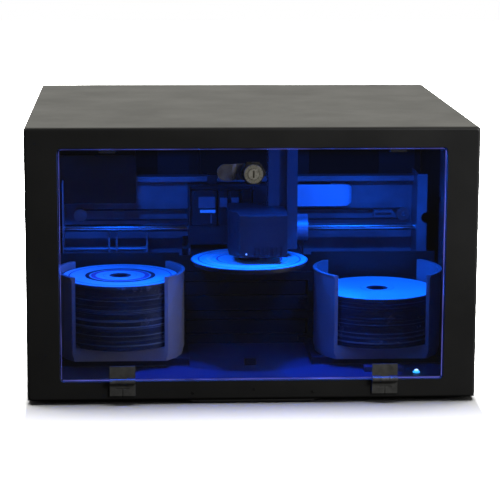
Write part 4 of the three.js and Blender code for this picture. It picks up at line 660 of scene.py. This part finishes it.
# The piled discs are copies of one, turned a little small so that a loose pile is no wider than
# a straight one.
pile_share = 0.9945
plain_disc = disc("plain_disc", [], pile_share)
ringed_disc = disc("ringed_disc", stack_ring, pile_share)
pile_pitch = 0.00132
top_gap = 0.00005
slack = 0.0003
dice = random.Random(4)
for side in ("left", "right"):
    low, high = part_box(f"{side}_disc_stack")
    centre = (low + high) / 2
    count = round((high.z - low.z) / pile_pitch)
    step_up = (high.z - low.z) / count
    pieces = []
    for index in range(count - 1):
        x = centre.x + dice.uniform(-slack, slack)
        y = centre.y + dice.uniform(-slack, slack)
        pieces.append(copied(plain_disc, f"{side}_disc_pile_{index}", (x, y, low.z + index * step_up)))
    top = copied(ringed_disc, f"{side}_top_disc", (centre.x, centre.y, high.z - disc_thick - top_gap))
    carried(top, f"bin_{side}", disc_face(f"{side}_disc_print", centre, *faces[side]))
    only(pieces[0])
    for made in pieces:
        made.select_set(True)
    bpy.ops.object.join()
    pile = bpy.context.object
    pile.name = f"{side}_disc_pile"
    carried(pile, f"bin_{side}", pile_edge, [f"{side}_disc_stack"])
for model in (plain_disc, ringed_disc):
    bpy.data.objects.remove(model)

low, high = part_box("printed_disc")
centre = (low + high) / 2
made = disc("tray_disc", [], 1.0)
made.data.transform(Matrix.Translation((centre.x, centre.y, low.z)))
carried(made, "tray", disc_face("tray_disc_print", centre, *faces["tray"]), ["printed_disc"])


# Recorders. Two black disc drives one over the other, each with a tray door and a push button.
# The panel behind them is the same coated sheet as the case.
moulding = finish("black_moulding", (0.010, 0.010, 0.012), (0.015, 0.015, 0.018), 30.0, 1400.0, 0.00004,
                  0.34, 0.48)
for name in ("recorder_upper", "recorder_lower", "bulkhead"):
    eased(name, coat, width=0.0003)
for name in ("recorder_tray_upper", "recorder_tray_lower", "eject_button_upper", "eject_button_lower"):
    eased(name, moulding, width=0.0003)


# Printer frame. Plated sheet steel with folded edges, on a bent steel shelf, with a black
# moulded cover over its left end.
plated = finish("zinc_plate", (0.17, 0.17, 0.19), (0.26, 0.26, 0.28), 22.0, 900.0, 0.00004,
                0.34, 0.50, metal=0.55)
bright_plate = finish("bright_plate", (0.30, 0.30, 0.31), (0.40, 0.40, 0.41), 30.0, 900.0, 0.00004,
                      0.30, 0.45, metal=1.0)
eased("printer_chassis", plated, width=0.00025)
eased("inner_frame", bright_plate, width=0.00025)
cover_black = finish("cover_moulding", (0.004, 0.004, 0.0045), (0.007, 0.007, 0.0075), 30.0, 1400.0, 0.00004,
                     0.42, 0.55)
eased("printer_end_cover", cover_black, width=0.0004)
for name in ("tray_motor", "carriage_motor"):
    eased(name, bright_plate, width=0.0003)


# Guide shaft, belt and pulleys. The ground steel shaft carries the print carriage, and a toothed
# rubber belt over two small pulleys pulls it along.
ground = finish("ground_shaft", (0.62, 0.62, 0.63), (0.70, 0.70, 0.70), 80.0, 1500.0, 0.00001, 0.12, 0.20,
                metal=1.0, stretch=(0.05, 1, 1))
drawn_steel = finish("drawn_steel", (0.36, 0.36, 0.37), (0.46, 0.46, 0.47), 60.0, 900.0, 0.00003, 0.26, 0.40,
                     metal=1.0, stretch=(0.06, 1, 1))
eased("guide_shaft", ground, width=0.0002)
eased("carriage_belt", rubber, width=0.0001)
for name in ("carriage_drive_pulley", "carriage_idler_pulley"):
    eased(name, drawn_steel, width=0.0001)


# Print carriage. A black moulding with two ink cartridges, grey latches, blank labels and ribs on
# its front, and a steel sleeve at its right. The flat cable loops back from it to the frame.
sleeved = finish("carriage_moulding", (0.012, 0.012, 0.015), (0.018, 0.018, 0.022), 30.0, 1400.0, 0.00004,
                 0.32, 0.46)
tree = sleeved.node_tree
sleeve_from = 0.0562
sleeve = above(tree, place_on(tree)["X"], sleeve_from)
laid_over(sleeved, sleeve, (0.62, 0.60, 0.68, 1))
metal = linked(tree, "ShaderNodeMath", {0: sleeve}, {1: 0.6}, operation="MULTIPLY")
tree.links.new(metal.outputs[0], tree.nodes["Principled BSDF"].inputs["Metallic"])
eased("print_carriage", sleeved, width=0.0003)
for name in ("ink_cartridge_black", "ink_cartridge_colour"):
    eased(name, moulding, width=0.0003)

tab_grey = finish("latch_grey", (0.11, 0.11, 0.14), (0.16, 0.16, 0.19), 60.0, 1400.0, 0.00003, 0.28, 0.40)
blank_label = finish("blank_label", (0.62, 0.80, 0.86), (0.72, 0.88, 0.92), 90.0, 1800.0, 0.00001, 0.4, 0.5)
plate_front, plate_back = 157.19, 158.09
for name, left, right, bottom, top, material in (
        ("latch_wide", -48.6, -31.0, 170.4, 182.4, tab_grey),
        ("latch_middle", -26.2, -18.0, 171.2, 181.4, tab_grey),
        ("latch_right", -14.0, -6.0, 171.2, 181.4, tab_grey),
        ("carriage_label", -46.9, -30.6, 165.2, 168.6, blank_label),
        ("carriage_label_small", -4.0, 8.0, 165.0, 168.0, tab_grey),
        ("feed_post", -36.0, -34.4, 154.0, 163.6, tab_grey)):
    block_piece(name, part_place(left, plate_front, bottom), part_place(right, plate_back, top), 0.0003,
                material, "carriage")
rib_low, rib_high, rib_width, rib_pitch = 146.5, 152.5, 1.2, 3.0
for index in range(9):
    left = -46 + rib_pitch * index
    block_piece(f"carriage_rib_{index}", part_place(left, plate_front, rib_low),
                part_place(left + rib_width, plate_back, rib_high), 0.0002, moulding, "carriage")

flex = finish("ribbon_flex", (0.56, 0.60, 0.74), (0.64, 0.68, 0.82), 14.0, 1400.0, 0.00001, 0.28, 0.38)
tree = flex.node_tree
lane_pitch, lane_width = 0.00125, 0.0008
lanes = linked(tree, "ShaderNodeMath", {0: place_on(tree)["Z"]}, {1: lane_pitch}, operation="MODULO")
laid_over(flex, below(tree, lanes.outputs[0], lane_width), (0.50, 0.62, 0.72, 1))
low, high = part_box("ribbon_cable")
loop_y, loop_z = (low.y + high.y) / 2, (low.z + high.z) / 2
ribbon = one_skin("ribbon_cable")
bpy.ops.mesh.quads_convert_to_tris()
for millimetres in range(60, 118, 3):
    bpy.ops.mesh.select_all(action="SELECT")
    bpy.ops.mesh.bisect(plane_co=(millimetres / 1000, 0, 0), plane_no=(1, 0, 0))
bpy.ops.object.mode_set(mode="OBJECT")
# The loop narrows to a rounded end.
loop_length, end_share = 0.010, 0.55
round_from = high.x - loop_length
for point in ribbon.data.vertices:
    if point.co.x > round_from:
        share = (point.co.x - round_from) / loop_length
        squeeze = end_share + (1 - end_share) * math.sqrt(max(0.0, 1 - share * share))
        point.co.z = loop_z + (point.co.z - loop_z) * squeeze
only(ribbon)
bpy.ops.object.shade_smooth_by_angle(angle=math.radians(32))
ribbon.data.materials.clear()
ribbon.data.materials.append(flex)
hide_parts("ribbon_cable")
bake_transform(ribbon)


# Print tray. A black moulded table with a round seat for one disc, a toothed edge, and the
# small white gear that drives it.
eased("print_tray", moulding, width=0.0003)
nylon = finish("gear_nylon", (0.60, 0.60, 0.57), (0.70, 0.70, 0.67), 60.0, 1200.0, 0.00002, 0.38, 0.48)
eased("tray_pinion", nylon, width=0.0001)


# Picker. A steel bar and a lead screw across the case carry the trolley. Its painted column
# holds the head, which rides up and down on a rack and grips a disc by its hole.
for name in ("picker_rail", "traverse_screw", "lift_pinion", "gripper_plunger"):
    eased(name, drawn_steel, width=0.0001)
eased("traverse_motor", bright_plate, width=0.0003)
eased("picker_trolley", moulding, width=0.0004)
mast = finish("mast_paint", (0.045, 0.045, 0.055), (0.062, 0.062, 0.072), 18.0, 1200.0, 0.00003, 0.35, 0.48)
eased("picker_column", mast, width=0.0003)
shell = finish("head_shell", (0.013, 0.013, 0.017), (0.018, 0.018, 0.023), 18.0, 1300.0, 0.00003, 0.38, 0.48)
eased("picker_head", shell, width=0.0003, merge_faces=False)
# A small pale pin on the head's front. Its glow is painted light: an emission standing for a glint, since the
# pin is no lamp.
head_pin_painted_glint = finish("head_pin_painted_glint", (0.75, 0.8, 0.85), (0.85, 0.9, 0.95), 90.0, 1500.0, 0.00001, 0.15, 0.25,
                  sockets={"Emission Color": (0.35, 0.6, 1.0, 1), "Emission Strength": 0.5})
pin = part_place(-3.4, 59.8, 139.1)
domed_screw("head_pin_painted_glint", pin.x, pin.z, pin.y, 0.0009, head_pin_painted_glint, "head")


# Electrics at the back. A folded steel power supply with its inlet and rocker, a green printed
# board, and a cooling fan.
eased("power_supply", bright_plate, width=0.0003)
eased("rocker_switch", moulding, width=0.0003)
for name in ("fan_housing", "fan_impeller"):
    eased(name, moulding, width=0.0004)
card = finish("board_green", (0.006, 0.045, 0.016), (0.010, 0.062, 0.022), 60.0, 900.0, 0.00003, 0.28, 0.42)
tree = card.node_tree
place = linked(tree, "ShaderNodeTexCoord")
tracks = linked(tree, "ShaderNodeTexBrick", {"Vector": place.outputs["Object"]},
                {"Scale": 55.0, "Mortar Size": 0.035, "Mortar Smooth": 0.0, "Bias": 0.0, "Brick Width": 0.9,
                 "Row Height": 0.12})
laid_over(card, tracks.outputs["Fac"], (0.02, 0.12, 0.045, 1))
eased("controller_board", card, width=0.0001)


# Light bar. A narrow printed board under the top of the case with blue lamps along it, and the
# blue status lamp on the deck. The deck has lamps of a deeper blue to itself, and a plain lamp
# at the right front lights the outside of the front.
eased("led_strip", card, width=0.0002)
lamp_blue = finish("lamp_blue", (0.25, 0.55, 0.9), (0.35, 0.65, 1.0), 300.0, 1500.0, 0.00001, 0.12, 0.2,
                   sockets={"Emission Strength": 1.6})
tree = lamp_blue.node_tree
place = linked(tree, "ShaderNodeTexCoord")
low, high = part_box("status_lamp")
centre = (low + high) / 2
dome = linked(tree, "ShaderNodeVectorMath", {0: place.outputs["Object"]}, {1: (centre.x, centre.y, high.z)},
              operation="DISTANCE")
core = linked(tree, "ShaderNodeMapRange", {"Value": dome.outputs["Value"]},
              {"From Min": 0.0032, "From Max": 0.0008})
hot = linked(tree, "ShaderNodeMix", {0: core.outputs[0]}, {6: (0.02, 0.35, 1.0, 1), 7: (0.75, 0.95, 1.0, 1)},
             data_type="RGBA")
tree.links.new(hot.outputs[2], tree.nodes["Principled BSDF"].inputs["Emission Color"])
eased("status_lamp", lamp_blue, width=0.0)

deck = bpy.data.objects["deck_finished"]
end_cover = bpy.data.objects["printer_end_cover_finished"]
outer = ["front_bezel", "pull_lip", "lock_body", "lock_plug", "lock_cam", "top_cover"]
outer += [f"hinge_{side}_{leaf}_leaf" for side in ("left", "right") for leaf in ("door", "frame")]
outside = light_set("lit_by_front_light", [bpy.data.objects[name + "_finished"] for name in outer])
front_lamp = studio_lamp("front_light", 0.35, 0.35, 7.5, (0.80, -0.95, 0.75), (0.0, -0.2, 0.12))
front_lamp.light_linking.receiver_collection = outside
soft_box.light_linking.receiver_collection = light_set("passed_by_soft_box", [deck], passed_over=True)

low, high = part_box("led_strip")
bar_y = (low.y + high.y) / 2
bar_z = low.z - 0.001
deck_top = 0.0235
blue, deep_blue = (0.0, 0.105, 1.0), (0.0, 0.035, 1.0)
not_deck = light_set("passed_by_bar", [floor, deck], passed_over=True)
not_ends = light_set("passed_by_end_lamps", [floor, deck, end_cover], passed_over=True)
deck_only = light_set("lit_by_deck_lamps", [deck])


def bar_lamp(name, light, x, y, aim_x, aim_y, colour, receivers):
    """Puts one blue lamp in the bar, pointed at a place on the deck, with no mirror image."""
    light.color = colour
    light.cycles.use_multiple_importance_sampling = False
    lamp = hung(name, light, (x, y, bar_z), (aim_x, aim_y, deck_top))
    lamp.light_linking.receiver_collection = receivers


for name, x, aim_x, aim_depth, power, cone, colour, receivers in (
        ("bar_middle", 0.008, 0.008, 0.02, 1.2, 62, blue, not_deck),
        ("bar_left", -0.090, -0.005, 0.02, 0.8, 56, blue, not_deck),
        ("bar_right", 0.090, 0.012, 0.02, 1.3, 56, blue, not_deck),
        ("deck_left", -0.080, -0.080, 0.01, 2.7, 25, deep_blue, deck_only),
        ("deck_middle", 0.008, 0.008, 0.01, 2.9, 62, deep_blue, deck_only),
        ("deck_right", 0.090, 0.090, 0.01, 3.3, 30, deep_blue, deck_only)):
    beam = bpy.data.lights.new(name, "SPOT")
    beam.energy = power
    beam.spot_size = math.radians(cone)
    beam.spot_blend = 0.25
    beam.shadow_soft_size = 0.006
    bar_lamp(name, beam, x, bar_y + 0.004, aim_x, bar_y + aim_depth, colour, receivers)
for name, x, power in (("bar_far_left", -0.130, 0.58), ("bar_far_right", 0.130, 0.72)):
    glow = bpy.data.lights.new(name, "AREA")
    glow.shape = "RECTANGLE"
    glow.size = 0.03
    glow.size_y = 0.006
    glow.energy = power
    bar_lamp(name, glow, x, bar_y, x, bar_y + 0.07, blue, not_ends)
